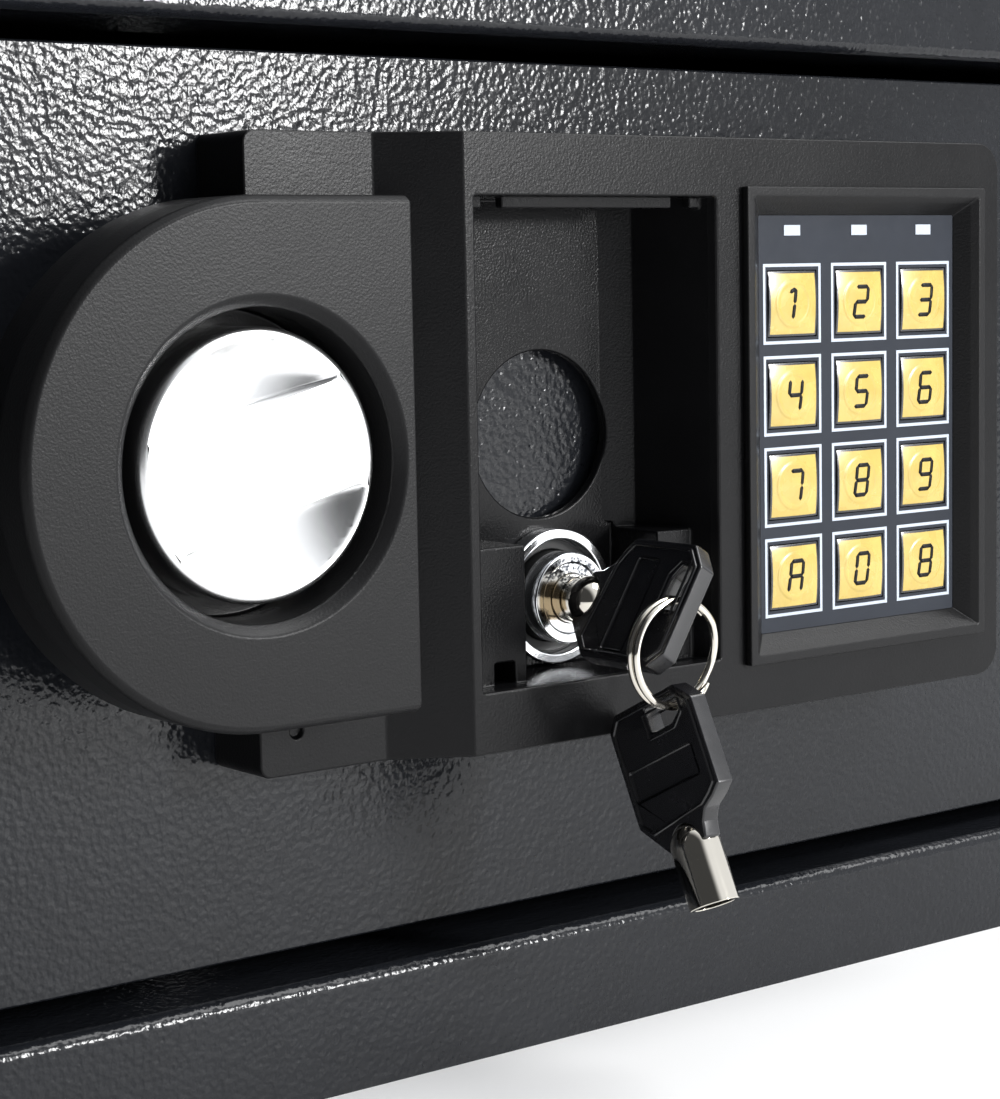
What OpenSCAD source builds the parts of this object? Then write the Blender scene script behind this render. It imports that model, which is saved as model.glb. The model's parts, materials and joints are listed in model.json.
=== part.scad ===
// Laptop safe with a keypad, an override lock and a turn knob that draws two live bolts.
// X runs to the right seen from the front, Y runs into the safe, Z is up.
// The origin is the centre of the underside.

/* [Body] */
// Overall width
body_w = 430; // [400:1:480]
// Overall height
body_h = 200; // [195:1:240]
// Overall depth
body_d = 350; // [300:1:420]
// Thickness of the body's sheet steel
sheet_t = 1.5; // [1:0.1:2]
// Outside radius of the body's four long folds
fold_r = 3; // [2.2:0.1:6]
// Radius of the fold round the front opening
lip_r = 2.4; // [1.6:0.1:3]
// Width of the frame's face round the door
frame_face = 20.6; // [19:0.1:24]
// Depth of the frame's side returns
side_return = 14; // [10:0.5:15]
// Depth of the frame's top and bottom returns
sill_return = 24; // [22:0.5:30]
// Diameter of the anchor holes
anchor_d = 10; // [6:0.5:14]
// Distance between the anchor holes across the safe
anchor_pitch_x = 250; // [120:1:300]
// Distance between the floor's anchor holes front to back
anchor_pitch_y = 180; // [80:1:200]
// Thickness of the carpet on the floor
mat_t = 3; // [1.5:0.1:5]

/* [Door] */
// Thickness of the door plate
door_t = 3.5; // [3:0.1:5]
// Gap round the door
door_gap = 3.6; // [3:0.1:4.5]
// How far the door lies behind the frame's face
door_recess = 8.5; // [6:0.1:10]
// Diameter of the hinge pins
hinge_pin_d = 6; // [5:0.1:7]
// Distance from the door's edge to the hinge axis
hinge_inset = 8; // [7.5:0.1:9]
// Distance from the door's back face to the hinge axis
hinge_set = 3.4; // [3.2:0.1:4]
// Height of each hinge block
hinge_block_h = 26; // [18:1:34]
// Height of each hinge bearing
hinge_bearing_h = 8; // [6:0.5:12]
// Depth of the inner cover
cover_depth = 42; // [40:0.5:50]
// Sheet thickness of the inner cover
cover_t = 1.2; // [0.8:0.1:1.5]
// Distance from the door's top or bottom edge to the inner cover
cover_margin = 10; // [8:0.5:14]

/* [Front panel] */
// Distance from the safe's centre to the knob's axis
knob_x = 67.5; // [60:0.5:72]
// Height of the knob's axis over the safe's middle
panel_rise = 9.8; // [4:0.1:12]
// Height of the panel
panel_h = 104.2; // [100:0.1:110]
// From the knob's axis to the panel's left edge
base_left = 7.4; // [5:0.1:10]
// From the knob's axis to the panel's right edge
base_right = 175.5; // [173:0.1:180]
// From the knob's axis to the foot of the slope
slope_left = 32.2; // [30:0.1:34]
// From the knob's axis to the head of the slope
slope_right = 44.9; // [43:0.1:46]
// Height of the low plateau over the door
plateau_out = 14.3; // [12:0.1:15]
// Height of the main face over the door
face_out = 22.3; // [20:0.1:24]
// Corner radius of the panel beside the keypad
panel_r = 5.5; // [2:0.1:8]
// Corner radius of the panel behind the grip
plateau_r = 2; // [1:0.1:6]
// Wall thickness of the panel's plastic
panel_wall = 2.2; // [1.6:0.1:2.6]
// Depth of the screw holes in the panel's posts
panel_post = 9; // [8:0.5:11]

/* [Grip] */
// Radius of the round end of the grip
grip_r = 41.3; // [38:0.1:44]
// From the knob's axis to the grip's square end
grip_right = 27.9; // [27:0.1:31]
// Front of the grip over the door
grip_out = 31; // [29:0.1:33]
// Depth of the grip's side wall
grip_deep = 16.4; // [14:0.1:16.5]
// Wall thickness of the grip
grip_wall = 2.6; // [2:0.1:3.2]
// Radius of the hole round the knob
well_r = 24.3; // [23:0.1:26]
// Radius of the boss between the grip and the door
boss_r = 14; // [11:0.1:16]

/* [Knob] */
// Radius of the knob
knob_r = 21.4; // [20:0.1:22.5]
// Front of the knob over the door
knob_out = 29; // [27:0.1:31]
// Thickness of the knob
knob_t = 11; // [9:0.1:11.6]
// Width of the knob's grip bar
bar_w = 17.3; // [12:0.1:20]
// Slope of the grip bar at rest
bar_tilt = 15.3; // [0:0.1:40]
// Width of the flat rim round the finger hollows
knob_rim = 0.6; // [0.4:0.1:1.5]
// Depth of the finger hollows beside the bar
scoop_deep = 5.5; // [3:0.1:6]
// Diameter of the spindle
spindle_d = 10; // [8:0.1:12]
// Running clearance of the spindle, pins and bolts, on the radius
running_gap = 0.06; // [0.03:0.01:0.1]

/* [Recess] */
// From the knob's axis to the recess's centre
recess_x = 73.9; // [72:0.1:76]
// Width of the recess's mouth
recess_w = 54; // [50:0.1:54.6]
// Height of the recess's mouth
recess_h = 83.2; // [80:0.1:88]
// Height of the recess's floor over the door
recess_floor = 4; // [3.5:0.1:5]
// Diameter of the round hole in the recess's floor
knockout_d = 30; // [20:0.1:32]
// Front of the lock's housing block over the door
block_out = 17; // [14:0.1:19]
// From the recess's lower edge to the block's top
block_h = 23.8; // [22:0.1:26]
// Width of the slot in the block
slot_w = 30.2; // [28:0.1:31]

/* [Lock and keys] */
// From the knob's axis to the lock's axis
lock_x = 75.5; // [74:0.1:77]
// From the knob's axis down to the lock's axis
lock_drop = 29; // [28:0.1:29.5]
// Outside diameter of the trim ring
trim_d = 24.4; // [22:0.1:25]
// Diameter of the lock's round body
lock_d = 16.3; // [15:0.1:17]
// Front of the lock's face over the door
lock_out = 11; // [9:0.1:12.5]
// Length of the lock's body
lock_len = 37; // [34:0.1:40]
// Diameter of the plug that turns with the key
plug_d = 12.6; // [12:0.1:13]
// Outside diameter of the key's barrel
barrel_d = 8.8; // [8:0.1:9.2]
// Bore of the key's barrel
barrel_bore = 6.8; // [6:0.1:7.2]
// Length of the key's barrel up to its round end
barrel_len = 10.4; // [9.5:0.1:11]
// Depth of the key in the lock
key_depth = 6; // [5:0.1:6.5]
// Length of the whole key
key_len = 37; // [36:0.1:38]
// Width of the key's moulded head
head_w = 23.2; // [22.4:0.1:23.4]
// From the key's axis to the lower edge of its head
head_low = 11; // [10.5:0.1:11]
// Thickness of the key's moulded head
head_t = 3.6; // [3:0.1:4]
// Turn of the key from upright to its stop, towards the right
key_tilt = 32; // [20:1:33]
// Radius of the split ring's wire path
ring_r = 9.1; // [8.8:0.1:9.5]
// Thickness of the split ring's wire
ring_wire = 1.6; // [1.2:0.1:1.7]
// Distance between the split ring's two turns
ring_pitch = 2.05; // [2.02:0.01:2.1]
// From the lock's axis down to the ring's centre
ring_drop = 7; // [6.8:0.1:7]
// Lean of the hanging key towards the front
spare_lean = 26; // [25:1:28]

/* [Keypad] */
// From the knob's axis to the keypad's centre
keypad_x = 138.5; // [137:0.1:140]
// Outside width of the raised rim
rim_w = 63; // [62:0.1:64]
// Outside height of the raised rim
rim_h = 86.8; // [85:0.1:90]
// Width of the rim's flat strip
rim_strip = 2.2; // [1.6:0.1:2.6]
// Height of the rim over the main face
rim_rise = 1.6; // [1:0.1:2.4]
// Height of the keypad's face over the door
pad_out = 20.5; // [19:0.1:21]
// Width of the keypad's face
pad_w = 52; // [50:0.1:53]
// Height of the keypad's face
pad_h = 77; // [75:0.1:78]
// Thickness of the keypad's face
pad_t = 1.5; // [1:0.1:1.6]
// Width of a key
key_w = 12.3; // [11:0.1:13]
// Height of a key
key_h = 12; // [11:0.1:13]
// Distance between the key columns
pitch_x = 17.4; // [17:0.1:18]
// Distance between the key rows
pitch_z = 16.8; // [16.4:0.1:17]
// Height of the top row over the knob's axis
top_row = 22.2; // [21.6:0.1:22.6]
// Gap round each key
key_gap = 0.15; // [0.1:0.01:0.3]
// Travel of a key
key_travel = 0.4; // [0.2:0.05:0.6]

/* [Bolt work] */
// Diameter of the live bolts
bolt_d = 18; // [14:0.1:20]
// Distance between the two bolts
bolt_pitch = 80; // [74:0.5:84]
// How far a drawn bolt stands short of the door's edge
bolt_short = 0.8; // [0.5:0.1:2]
// Length of a bolt
bolt_len = 35; // [34:0.5:38]
// From the door's back to the bolts' axis
bolt_axis = 14.5; // [12:0.1:16]
// Throw of the bolts
bolt_throw = 16.6; // [14:0.1:17]
// Radius of the crank pin's circle
crank_r = 18; // [17:0.1:20]
// Diameter of the crank pin
crank_pin_d = 6; // [5:0.1:7]
// Thickness of the carriage plate
carriage_t = 2; // [1.5:0.1:2.4]
// Diameter of the studs that carry the carriage
stud_d = 8; // [6:0.1:9]

/* [Release] */
// Diameter of the solenoid's plunger
plunger_d = 8; // [6:0.1:9]
// From the knob's axis to the plunger's axis
plunger_x = 45.5; // [44:0.1:47]
// Travel of the plunger
plunger_travel = 4; // [3:0.1:5]
// Diameter of the reset button
reset_d = 9; // [7:0.1:11]
// Diameter of one cell
cell_d = 14.2; // [13.5:0.1:14.5]
// Length of one cell
cell_len = 50.2; // [49:0.1:51]
// Width of the control board
control_w = 68; // [50:0.5:70]
// Height of the control board
control_h = 60; // [48:0.5:60]
// From the door's back to the control board
control_y = 12.2; // [8:0.1:13]
// Thickness of the circuit boards
board_t = 1.6; // [1:0.1:2]

/* [Hidden] */
$fn = 48;
// Facets of the large rounds, of the grip's arc and of the keys' shallow domes
fine = 96;
finest = 128;
dome_facets = 120;
eps = 0.01;
lip_ease = 0.03;

// Body and opening
front_y = -body_d / 2;
open_w = body_w - 2 * frame_face;
open_h = body_h - 2 * frame_face;
mid_z = body_h / 2;
anchor_z = mid_z;
panel_z = mid_z + panel_rise;

// Door
door_y = front_y + door_recess;
door_back = door_y + door_t;
door_w = open_w - 2 * door_gap;
door_h = open_h - 2 * door_gap;
hinge_x = door_w / 2 - hinge_inset;
hinge_y = door_back + hinge_set;
hinge_block_w = 13;
hinge_block_d = 9;
bearing_side = hinge_pin_d / 2 + 4.5;
pin_run = door_gap + sheet_t + hinge_bearing_h;
cover_z0 = mid_z - door_h / 2 + cover_margin;
cover_h = door_h - 2 * cover_margin;
cover_x0 = -door_w / 2 + 10.8;
cover_x1 = hinge_x - 14.8;
cover_back = door_back + cover_depth;
cover_foot = 9;
cover_screw_x = cover_x1 + cover_foot / 2;
cover_screw_z = cover_h / 2 - 5 - hinge_block_h;

// Front panel, whose own x counts from the knob's axis
kx = -knob_x;
post_x = [16, 62, 166];
post_z = panel_h / 2 - 4.6;
screw_d = 3;
rim_in_w = rim_w - 2 * rim_strip;
rim_in_h = rim_h - 2 * rim_strip;
rim_seat = 0.15;
rail_set = 3;
rail_h = 2;
trim_seat = 1.6;
clip_x = 21.1;
clip_w = 4.2;
tab_x = 18.3;
tab_w = 4.4;
tab_h = 3.8;
tab_deep = 6;
step_w = 5.8;
step_out = 2.6;
taper_w = 6.6;
lock_z = panel_z - lock_drop;
lock_wx = kx + lock_x;
ejector_d = 2.4;
ejector_at = [14.5, -44.9];

// Knob and grip
well_wall = 2;
well_floor = grip_out - grip_deep + well_wall;
spindle_hole_d = spindle_d + 2 * running_gap;

// Keys and ring
tip_out = lock_out - key_depth;
hole_edge = 1.5;
hole_long = 4.5;
hole_s = key_len - hole_edge - hole_long / 2;
hole_low = -0.2;
ring_x = lock_x;
ring_z = -lock_drop - ring_drop;
ring_out = tip_out + hole_s;

// Bolt work
bolt_x0 = -door_w / 2 + bolt_short;
bolt_y = door_back + bolt_axis;
guide_x = cover_x0 + cover_t + 0.3;
guide_t = 2;
guide_foot = 13;
guide_end = 1;
flange_x = bolt_x0 + bolt_len;
carriage_y = door_back + 8.5;
carriage_w = 43;
crank_t = 4;
crank_gap = 2.4;
crank_half = asin(bolt_throw / 2 / crank_r);
slot_play = 0.25;
arm_z0 = panel_z + 7.2;
arm_h = 21;
arm_x1 = kx + plunger_x + 12;
stud_x = flange_x + 13;
stud_z = 22;

// Release
plunger_wx = kx + plunger_x;
plunger_y = carriage_y + carriage_t / 2;
plunger_top = arm_z0 - 0.3;
coil_z0 = lock_z - 15;
coil_h = 26;
coil_r = 9;
link_y = door_y + lock_len - lock_out + 0.6;
cam_t = 2.5;
cam_r0 = 8;
spring_r = 5.6;
spring_wire = 0.8;
spring_turns = 6;
collar_z = plunger_top - 10;

// Battery box, control board and reset button
box_x0 = 48;
box_wall = 1.6;
box_w = cell_len + 6;
box_h = 4 * (cell_d + 0.8) + 2 * box_wall;
box_z0 = mid_z - box_h / 2;
box_y0 = cover_back - cover_t - cell_d - 2.6;
lid_t = 1.6;
reset_x = box_x0 + box_w + 11;
reset_z = mid_z + 18;
reset_travel = 1.5;
reset_flange = 4.9;

function out_y(out) = door_y - out;

module block(x0, x1, y0, y1, z0, z1) {
  translate([x0, y0, z0]) cube([x1 - x0, y1 - y0, z1 - z0]);
}

// Round bar along Y
module bar_y(x, z, y0, y1, r, f = 64) {
  translate([x, y0, z]) rotate([-90, 0, 0]) cylinder(r = r, h = y1 - y0, $fn = f);
}

// Round bar along Z
module bar_z(x, y, z0, z1, r) {
  translate([x, y, z0]) cylinder(r = r, h = z1 - z0);
}

// Round bar along X
module bar_x(y, z, x0, x1, r) {
  translate([x0, y, z]) rotate([0, 90, 0]) cylinder(r = r, h = x1 - x0);
}

// Plate facing the front, with round corners
module round_plate(x0, x1, z0, z1, y0, y1, r) {
  block(x0 + r, x1 - r, y0, y1, z0, z1);
  block(x0, x1, y0, y1, z0 + r, z1 - r);
  for (x = [x0 + r, x1 - r], z = [z0 + r, z1 - r]) bar_y(x, z, y0, y1, r);
}

// Outline in plan, pulled up between two heights
module plan(points, z0, z1) {
  translate([0, 0, z0]) linear_extrude(height = z1 - z0) polygon(points);
}

// Outline seen from the front, pulled back between two depths
module front_shape(points, y0, y1) {
  translate([0, y1, 0]) rotate([90, 0, 0]) linear_extrude(height = y1 - y0) polygon(points);
}

// Slot with round ends along X, cut between two depths
module slot_x(x0, x1, z, y0, y1, r) {
  block(x0, x1, y0, y1, z - r, z + r);
  for (x = [x0, x1]) bar_y(x, z, y0, y1, r);
}

// Rounded edge cutter along Z
module edge_cut(len, r) {
  difference() {
    translate([-1, -1, -eps]) cube([r + 1, r + 1, len + 2 * eps]);
    translate([r, r, -1]) cylinder(r = r, h = len + 2);
  }
}

// Body
module body_wrap() color("#26282b") {
  difference() {
    block(-body_w / 2, body_w / 2, front_y + sheet_t, -front_y - sheet_t, 0, body_h);
    block(-body_w / 2 + sheet_t, body_w / 2 - sheet_t, front_y, -front_y, sheet_t, body_h - sheet_t);
    for (sx = [-1, 1], up = [0, 1])
      translate([sx * body_w / 2, -front_y, up * body_h])
        rotate([90, 0, 0]) mirror([sx > 0 ? 1 : 0, 0, 0]) mirror([0, up, 0])
          edge_cut(body_d, fold_r);
    for (x = [-1, 1], y = [-1, 1])
      bar_z(x * anchor_pitch_x / 2, y * anchor_pitch_y / 2, -1, sheet_t + 1, anchor_d / 2);
  }
}

module back_plate() color("#26282b") {
  difference() {
    round_plate(-body_w / 2, body_w / 2, 0, body_h, -front_y - sheet_t, -front_y, fold_r);
    for (x = [-1, 1])
      bar_y(x * anchor_pitch_x / 2, anchor_z, -front_y - 5, -front_y + 5, anchor_d / 2);
  }
}

// Rounding of the opening's two upright edges
module lip_sides(over) {
  for (sx = [-1, 1])
    translate([sx * (open_w / 2 - lip_ease), front_y, frame_face - over]) mirror([sx < 0 ? 1 : 0, 0, 0])
      edge_cut(open_h + 2 * over, lip_r);
}

// Rounding of the opening's upper and lower edges
module lip_ends(over) {
  for (up = [0, 1])
    translate([-open_w / 2 - over, front_y, up ? body_h - frame_face - lip_ease : frame_face + lip_ease])
      mirror([0, 0, up ? 0 : 1])
      rotate([0, 90, 0]) mirror([1, 0, 0]) edge_cut(open_w + 2 * over, lip_r);
}

module front_frame() color("#26282b") {
  z0 = frame_face;
  z1 = body_h - frame_face;
  difference() {
    union() {
      round_plate(-body_w / 2, body_w / 2, 0, body_h, front_y, front_y + sheet_t, fold_r);
      for (x = [-open_w / 2 - sheet_t, open_w / 2])
        block(x, x + sheet_t, front_y, front_y + side_return, z0 - sheet_t, z1 + sheet_t);
      for (z = [z0 - sheet_t, z1])
        block(-open_w / 2 - sheet_t, open_w / 2 + sheet_t, front_y, front_y + sill_return, z, z + sheet_t);
    }
    block(-open_w / 2, open_w / 2, front_y - 1, -front_y, z0, z1);
    lip_sides(0);
    lip_ends(0);
    intersection() {
      lip_sides(lip_r);
      lip_ends(lip_r);
    }
    bar_z(hinge_x, hinge_y, 0, body_h - sheet_t, hinge_pin_d / 2 + running_gap);
  }
}

module hinge_bearings() color("#55585c") {
  for (up = [0, 1]) {
    z = up ? body_h - frame_face + sheet_t : frame_face - sheet_t - hinge_bearing_h;
    difference() {
      block(hinge_x - bearing_side, hinge_x + bearing_side, hinge_y - bearing_side, hinge_y + bearing_side,
        z, z + hinge_bearing_h);
      bar_z(hinge_x, hinge_y, up ? z - 1 : z + 1, up ? z + hinge_bearing_h - 1 : z + hinge_bearing_h + 1,
        hinge_pin_d / 2 + running_gap);
    }
  }
}

module floor_mat() color("#3a3d42") {
  edge = 6;
  difference() {
    block(-body_w / 2 + edge, body_w / 2 - edge, front_y + sill_return + 3, -front_y - edge,
      sheet_t, sheet_t + mat_t);
    for (x = [-1, 1], y = [-1, 1])
      bar_z(x * anchor_pitch_x / 2, y * anchor_pitch_y / 2, 0, sheet_t + mat_t + 1, anchor_d / 2 + 2);
  }
}

// Door
module door_plate() color("#2a2c30") {
  difference() {
    round_plate(-door_w / 2, door_w / 2, mid_z - door_h / 2, mid_z + door_h / 2, door_y, door_back, 1);
    bar_y(kx, panel_z, door_y - 1, door_back + 1, spindle_d / 2 + 1);
    bar_y(lock_wx, lock_z, door_y - 1, door_back + 1, lock_d / 2 + 0.3);
    block(kx + keypad_x - 8, kx + keypad_x + 8, door_y - 1, door_back + 1, panel_z - 40, panel_z - 34);
    for (x = post_x, up = [-1, 1])
      bar_y(kx + x, panel_z + up * post_z, door_y - 1, door_back + 1, screw_d / 2 + 0.4);
    for (s = grip_screw_places())
      bar_y(kx + s[0], panel_z + s[1], door_y - 1, door_back + 1, screw_d / 2 + 0.4);
  }
}

module hinge_blocks() color("#2a2c30") {
  for (up = [0, 1]) {
    z = up ? mid_z + door_h / 2 - hinge_block_h : mid_z - door_h / 2;
    difference() {
      block(hinge_x - 6, hinge_x - 6 + hinge_block_w, door_back, door_back + hinge_block_d,
        z, z + hinge_block_h);
      bar_z(hinge_x, hinge_y, z - 1, z + hinge_block_h + 1, hinge_pin_d / 2);
    }
  }
}

module hinge_pins() color("#a9adb2") {
  reach = pin_run - 1.1;
  bar_z(hinge_x, hinge_y, mid_z + door_h / 2 - hinge_block_h, mid_z + door_h / 2 + reach, hinge_pin_d / 2);
  bar_z(hinge_x, hinge_y, mid_z - door_h / 2 - reach, mid_z - door_h / 2 + hinge_block_h, hinge_pin_d / 2);
}

module bolt_guide() color("#8d9196") {
  tall = cover_h / 2 - cover_t - guide_end;
  difference() {
    union() {
      block(guide_x, guide_x + guide_t, door_back, bolt_y + bolt_d / 2 + 4, mid_z - tall, mid_z + tall);
      block(guide_x, guide_x + guide_foot, door_back, door_back + guide_t, mid_z - tall, mid_z + tall);
    }
    for (s = [-1, 1])
      bar_x(bolt_y, mid_z + s * bolt_pitch / 2, guide_x - 1, guide_x + guide_t + 1, bolt_d / 2 + running_gap);
    for (s = [-1, 1])
      block(guide_x + guide_t, guide_x + guide_foot + 1, door_back - 1, door_back + guide_t + 1,
        mid_z + s * bolt_pitch / 2 - bolt_d / 2 - 1, mid_z + s * bolt_pitch / 2 + bolt_d / 2 + 1);
  }
}

module carriage_studs() color("#b9bcc0") {
  for (s = [-1, 1]) {
    z = mid_z + s * stud_z;
    y0 = carriage_y - 0.2;
    y1 = carriage_y + carriage_t + 0.2;
    bar_y(stud_x, z, door_back, y0, stud_d / 2 + 2);
    bar_y(stud_x, z, y0, y1, stud_d / 2);
    bar_y(stud_x, z, y1, y1 + 2, stud_d / 2 + 2);
  }
}

module inner_cover() color("#303338") {
  z1 = cover_z0 + cover_h;
  box_x1 = box_x0 + box_w;
  difference() {
    union() {
      block(cover_x0, cover_x1, door_back, cover_back, cover_z0, z1);
      for (s = [-1, 1])
        block(cover_x1 - eps, cover_x1 + cover_foot, door_back, door_back + cover_t,
          mid_z + s * cover_screw_z - 6, mid_z + s * cover_screw_z + 6);
    }
    block(cover_x0 + cover_t, cover_x1 - cover_t, door_back - 1, cover_back - cover_t,
      cover_z0 + cover_t, z1 - cover_t);
    for (s = [-1, 1])
      bar_x(bolt_y, mid_z + s * bolt_pitch / 2, cover_x0 - 1, cover_x0 + cover_t + 1, bolt_d / 2 + 0.4);
    block(box_x0 + box_wall, box_x1 - box_wall, cover_back - cover_t - 1, cover_back + 1,
      box_z0 + box_wall, box_z0 + box_h - box_wall);
    bar_y(reset_x, reset_z, cover_back - cover_t - 1, cover_back + 1, reset_d / 2 + running_gap);
    for (s = [-1, 1])
      bar_y(cover_screw_x, mid_z + s * cover_screw_z, door_back - 1, door_back + cover_t + 1, screw_d / 2);
  }
  for (z = [box_z0 - 5, box_z0 + box_h + 2])
    difference() {
      block(box_x0 - 4, box_x1 + 4, cover_back, cover_back + lid_t + 1.6, z, z + 3);
      block(box_x0 - 5, box_x1 + 5, cover_back - 1, cover_back + lid_t + 0.3,
        z < mid_z ? z + 1.5 : z - 1, z < mid_z ? z + 4 : z + 1.5);
    }
}

module cover_screws() color("#b9bcc0") {
  for (s = [-1, 1])
    translate([cover_screw_x, door_back, mid_z + s * cover_screw_z]) {
      rotate([-90, 0, 0]) cylinder(r = screw_d / 2, h = cover_t);
      translate([0, cover_t, 0]) rotate([-90, 0, 0]) cylinder(r = screw_d, h = 1.6);
    }
}

// Front panel
function panel_plan(inset) = [[base_left + inset, 1], [base_left + inset, -plateau_out + inset],
  [slope_left + inset * 0.4, -plateau_out + inset], [slope_right + inset * 0.4, -face_out + inset],
  [base_right - inset, -face_out + inset], [base_right - inset, 1]];

function recess_plan(grow, back) = [
  [recess_x - recess_w / 2 - grow, -face_out - 1], [recess_x + recess_w / 2 + grow, -face_out - 1],
  [recess_x + recess_w / 2 + grow, -face_out], [recess_x + recess_w / 2 - taper_w + grow, -back - step_out],
  [recess_x + recess_w / 2 - taper_w - step_w + grow, -back], [recess_x - recess_w / 2 - grow, -back]];

module front_panel() color("#222326") translate([kx, door_y, panel_z]) {
  half = panel_h / 2;
  low = recess_h / 2;
  block_z = block_h - low;
  difference() {
    union() {
      difference() {
        intersection() {
          plan(panel_plan(0), -half, half);
          union() {
            round_plate(base_left, recess_x, -half, half, -face_out - 1, 0, plateau_r);
            round_plate(slope_right, base_right, -half, half, -face_out - 1, 0, panel_r);
          }
        }
        plan(panel_plan(panel_wall), -half + panel_wall, half - panel_wall);
      }
      intersection() {
        plan(recess_plan(panel_wall, recess_floor - 2), -low - panel_wall, low + panel_wall);
        block(base_left, base_right, -face_out + 1, -recess_floor + 2, -half, half);
      }
      intersection() {
        plan(panel_plan(0), -half, half);
        for (x = post_x, up = [-1, 1]) bar_y(x, up * post_z, -face_out, 0, 3.6);
      }
      for (s = board_places()) bar_y(keypad_x + s[0], s[1], -face_out + 1, board_y + 0.5, 2.2);
    }
    difference() {
      plan(recess_plan(0, recess_floor), -low, low);
      block(recess_x - recess_w, recess_x + recess_w, -block_out, 0, -half, block_z);
      difference() {
        block(recess_x - recess_w, recess_x + recess_w, -face_out + rail_set, -face_out + rail_set + 2,
          low - rail_h, half);
        for (s = [-1, 1])
          block(recess_x + s * clip_x - clip_w / 2, recess_x + s * clip_x + clip_w / 2,
            -face_out, 0, low - rail_h - 1, low + 1);
      }
    }
    block(lock_x - slot_w / 2, lock_x + slot_w / 2, -block_out - 1, -recess_floor, -low, block_z + 1);
    block(recess_x - recess_w / 2 + panel_wall, lock_x - slot_w / 2 - panel_wall,
      -block_out + panel_wall, 1, -low + tab_h + 4, block_z - panel_wall);
    for (s = [-1, 1])
      block(recess_x + s * tab_x - tab_w / 2, recess_x + s * tab_x + tab_w / 2,
        -block_out - 1, -block_out + tab_deep, -low, -low + tab_h);
    bar_y(recess_x + 0.6, 0, -face_out, 1, knockout_d / 2);
    bar_y(lock_x, -lock_drop, -face_out, 1, trim_d / 2 - trim_seat);
    block(keypad_x - rim_in_w / 2, keypad_x + rim_in_w / 2, -face_out - 1, -face_out + panel_wall + 1,
      -rim_in_h / 2, rim_in_h / 2);
    bar_y(ejector_at[0], ejector_at[1], -plateau_out - 1, -plateau_out + 1, ejector_d / 2);
    for (x = post_x, up = [-1, 1]) bar_y(x, up * post_z, -panel_post, 1, screw_d / 2);
    for (s = board_places()) bar_y(keypad_x + s[0], s[1], -face_out + panel_wall, 1, board_screw_d / 2);
    for (s = grip_screw_places()) bar_y(s[0], s[1], -plateau_out - 1, 1, screw_d / 2 + 0.4);
    bar_y(0, 0, -plateau_out - 1, 1, boss_r + 0.3, fine);
  }
}

// Board screws, from the keypad's centre
function board_places() = [for (x = [-1, 1], z = [-30, 30]) [x * (rim_w / 2 + 0.4), z]];
board_screw_d = 2;

// Grip screws, from the knob's axis
grip_post = [18, 30];
grip_boss_screw = 11;
function grip_screw_places() =
  [grip_post, [grip_post[0], -grip_post[1]], [0, grip_boss_screw], [0, -grip_boss_screw]];

// Grip's D, round on the left and square on the right, set in by some distance
module grip_outline(inset, y0, y1) {
  intersection() {
    union() {
      bar_y(0, 0, y0, y1, grip_r - inset, finest);
      block(0, grip_r + 1, y0, y1, -grip_r + inset, grip_r - inset);
    }
    block(-grip_r - 1, grip_right - inset, y0 - 1, y1 + 1, -grip_r - 1, grip_r + 1);
  }
}

module pull_grip() color("#222326") translate([kx, door_y, panel_z]) {
  back = grip_deep - grip_out;
  bevel = 1.4;
  front_r = grip_r - bevel * 0.7;
  difference() {
    union() {
      difference() {
        intersection() {
          grip_outline(0, -grip_out, back);
          union() {
            block(-grip_r - 1, grip_right + 1, -grip_out + bevel, back, -grip_r - 1, grip_r + 1);
            intersection() {
              translate([0, -grip_out + bevel, 0]) rotate([90, 0, 0])
                cylinder(r1 = grip_r, r2 = front_r, h = bevel, $fn = finest);
              block(-grip_r - 1, 0, -grip_out, -grip_out + bevel, -grip_r - 1, grip_r + 1);
            }
            rotate([90, 0, 90]) linear_extrude(height = grip_right)
              polygon([[-grip_out, -front_r], [-grip_out, front_r], [-grip_out + bevel, grip_r],
                [-grip_out + bevel, -grip_r]]);
          }
        }
        difference() {
          grip_outline(grip_wall, -grip_out + grip_wall, back - 2);
          bar_y(0, 0, -grip_out, back, well_r + well_wall, fine);
          for (s = [-1, 1]) bar_y(grip_post[0], s * grip_post[1], -grip_out, back, 3.6);
        }
      }
      bar_y(0, 0, back - 1, 0, boss_r, fine);
    }
    bar_y(0, 0, -grip_out - 1, -well_floor, well_r, fine);
    translate([0, -grip_out - eps, 0]) rotate([-90, 0, 0])
      cylinder(r1 = well_r + 1.8, r2 = well_r, h = 1.8, $fn = fine);
    bar_y(0, 0, -grip_out, 1, spindle_hole_d / 2);
    for (s = grip_screw_places()) bar_y(s[0], s[1], -well_floor + 2, 1, screw_d / 2);
    for (s = [-1, 1]) bar_y(grip_post[0], s * grip_post[1], -grip_out + 8, 1, screw_d / 2);
  }
}

module panel_screw(len) {
  rotate([90, 0, 0]) cylinder(r = screw_d / 2, h = len);
  rotate([-90, 0, 0]) cylinder(r = screw_d, h = 1.8);
}

module panel_screws() color("#b9bcc0") translate([kx, door_back, panel_z]) {
  for (x = post_x, up = [-1, 1]) translate([x, 0, up * post_z]) panel_screw(door_t + 6);
  for (s = grip_screw_places())
    translate([s[0], 0, s[1]]) panel_screw(door_t + (s[0] > 0 ? plateau_out + 5 : well_floor - 3));
  for (s = board_places()) translate([keypad_x + s[0], board_back - door_t, s[1]]) {
    bar_y(0, 0, -4.2, 0, board_screw_d / 2);
    bar_y(0, 0, 0, 1.2, board_screw_d);
  }
}

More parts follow.
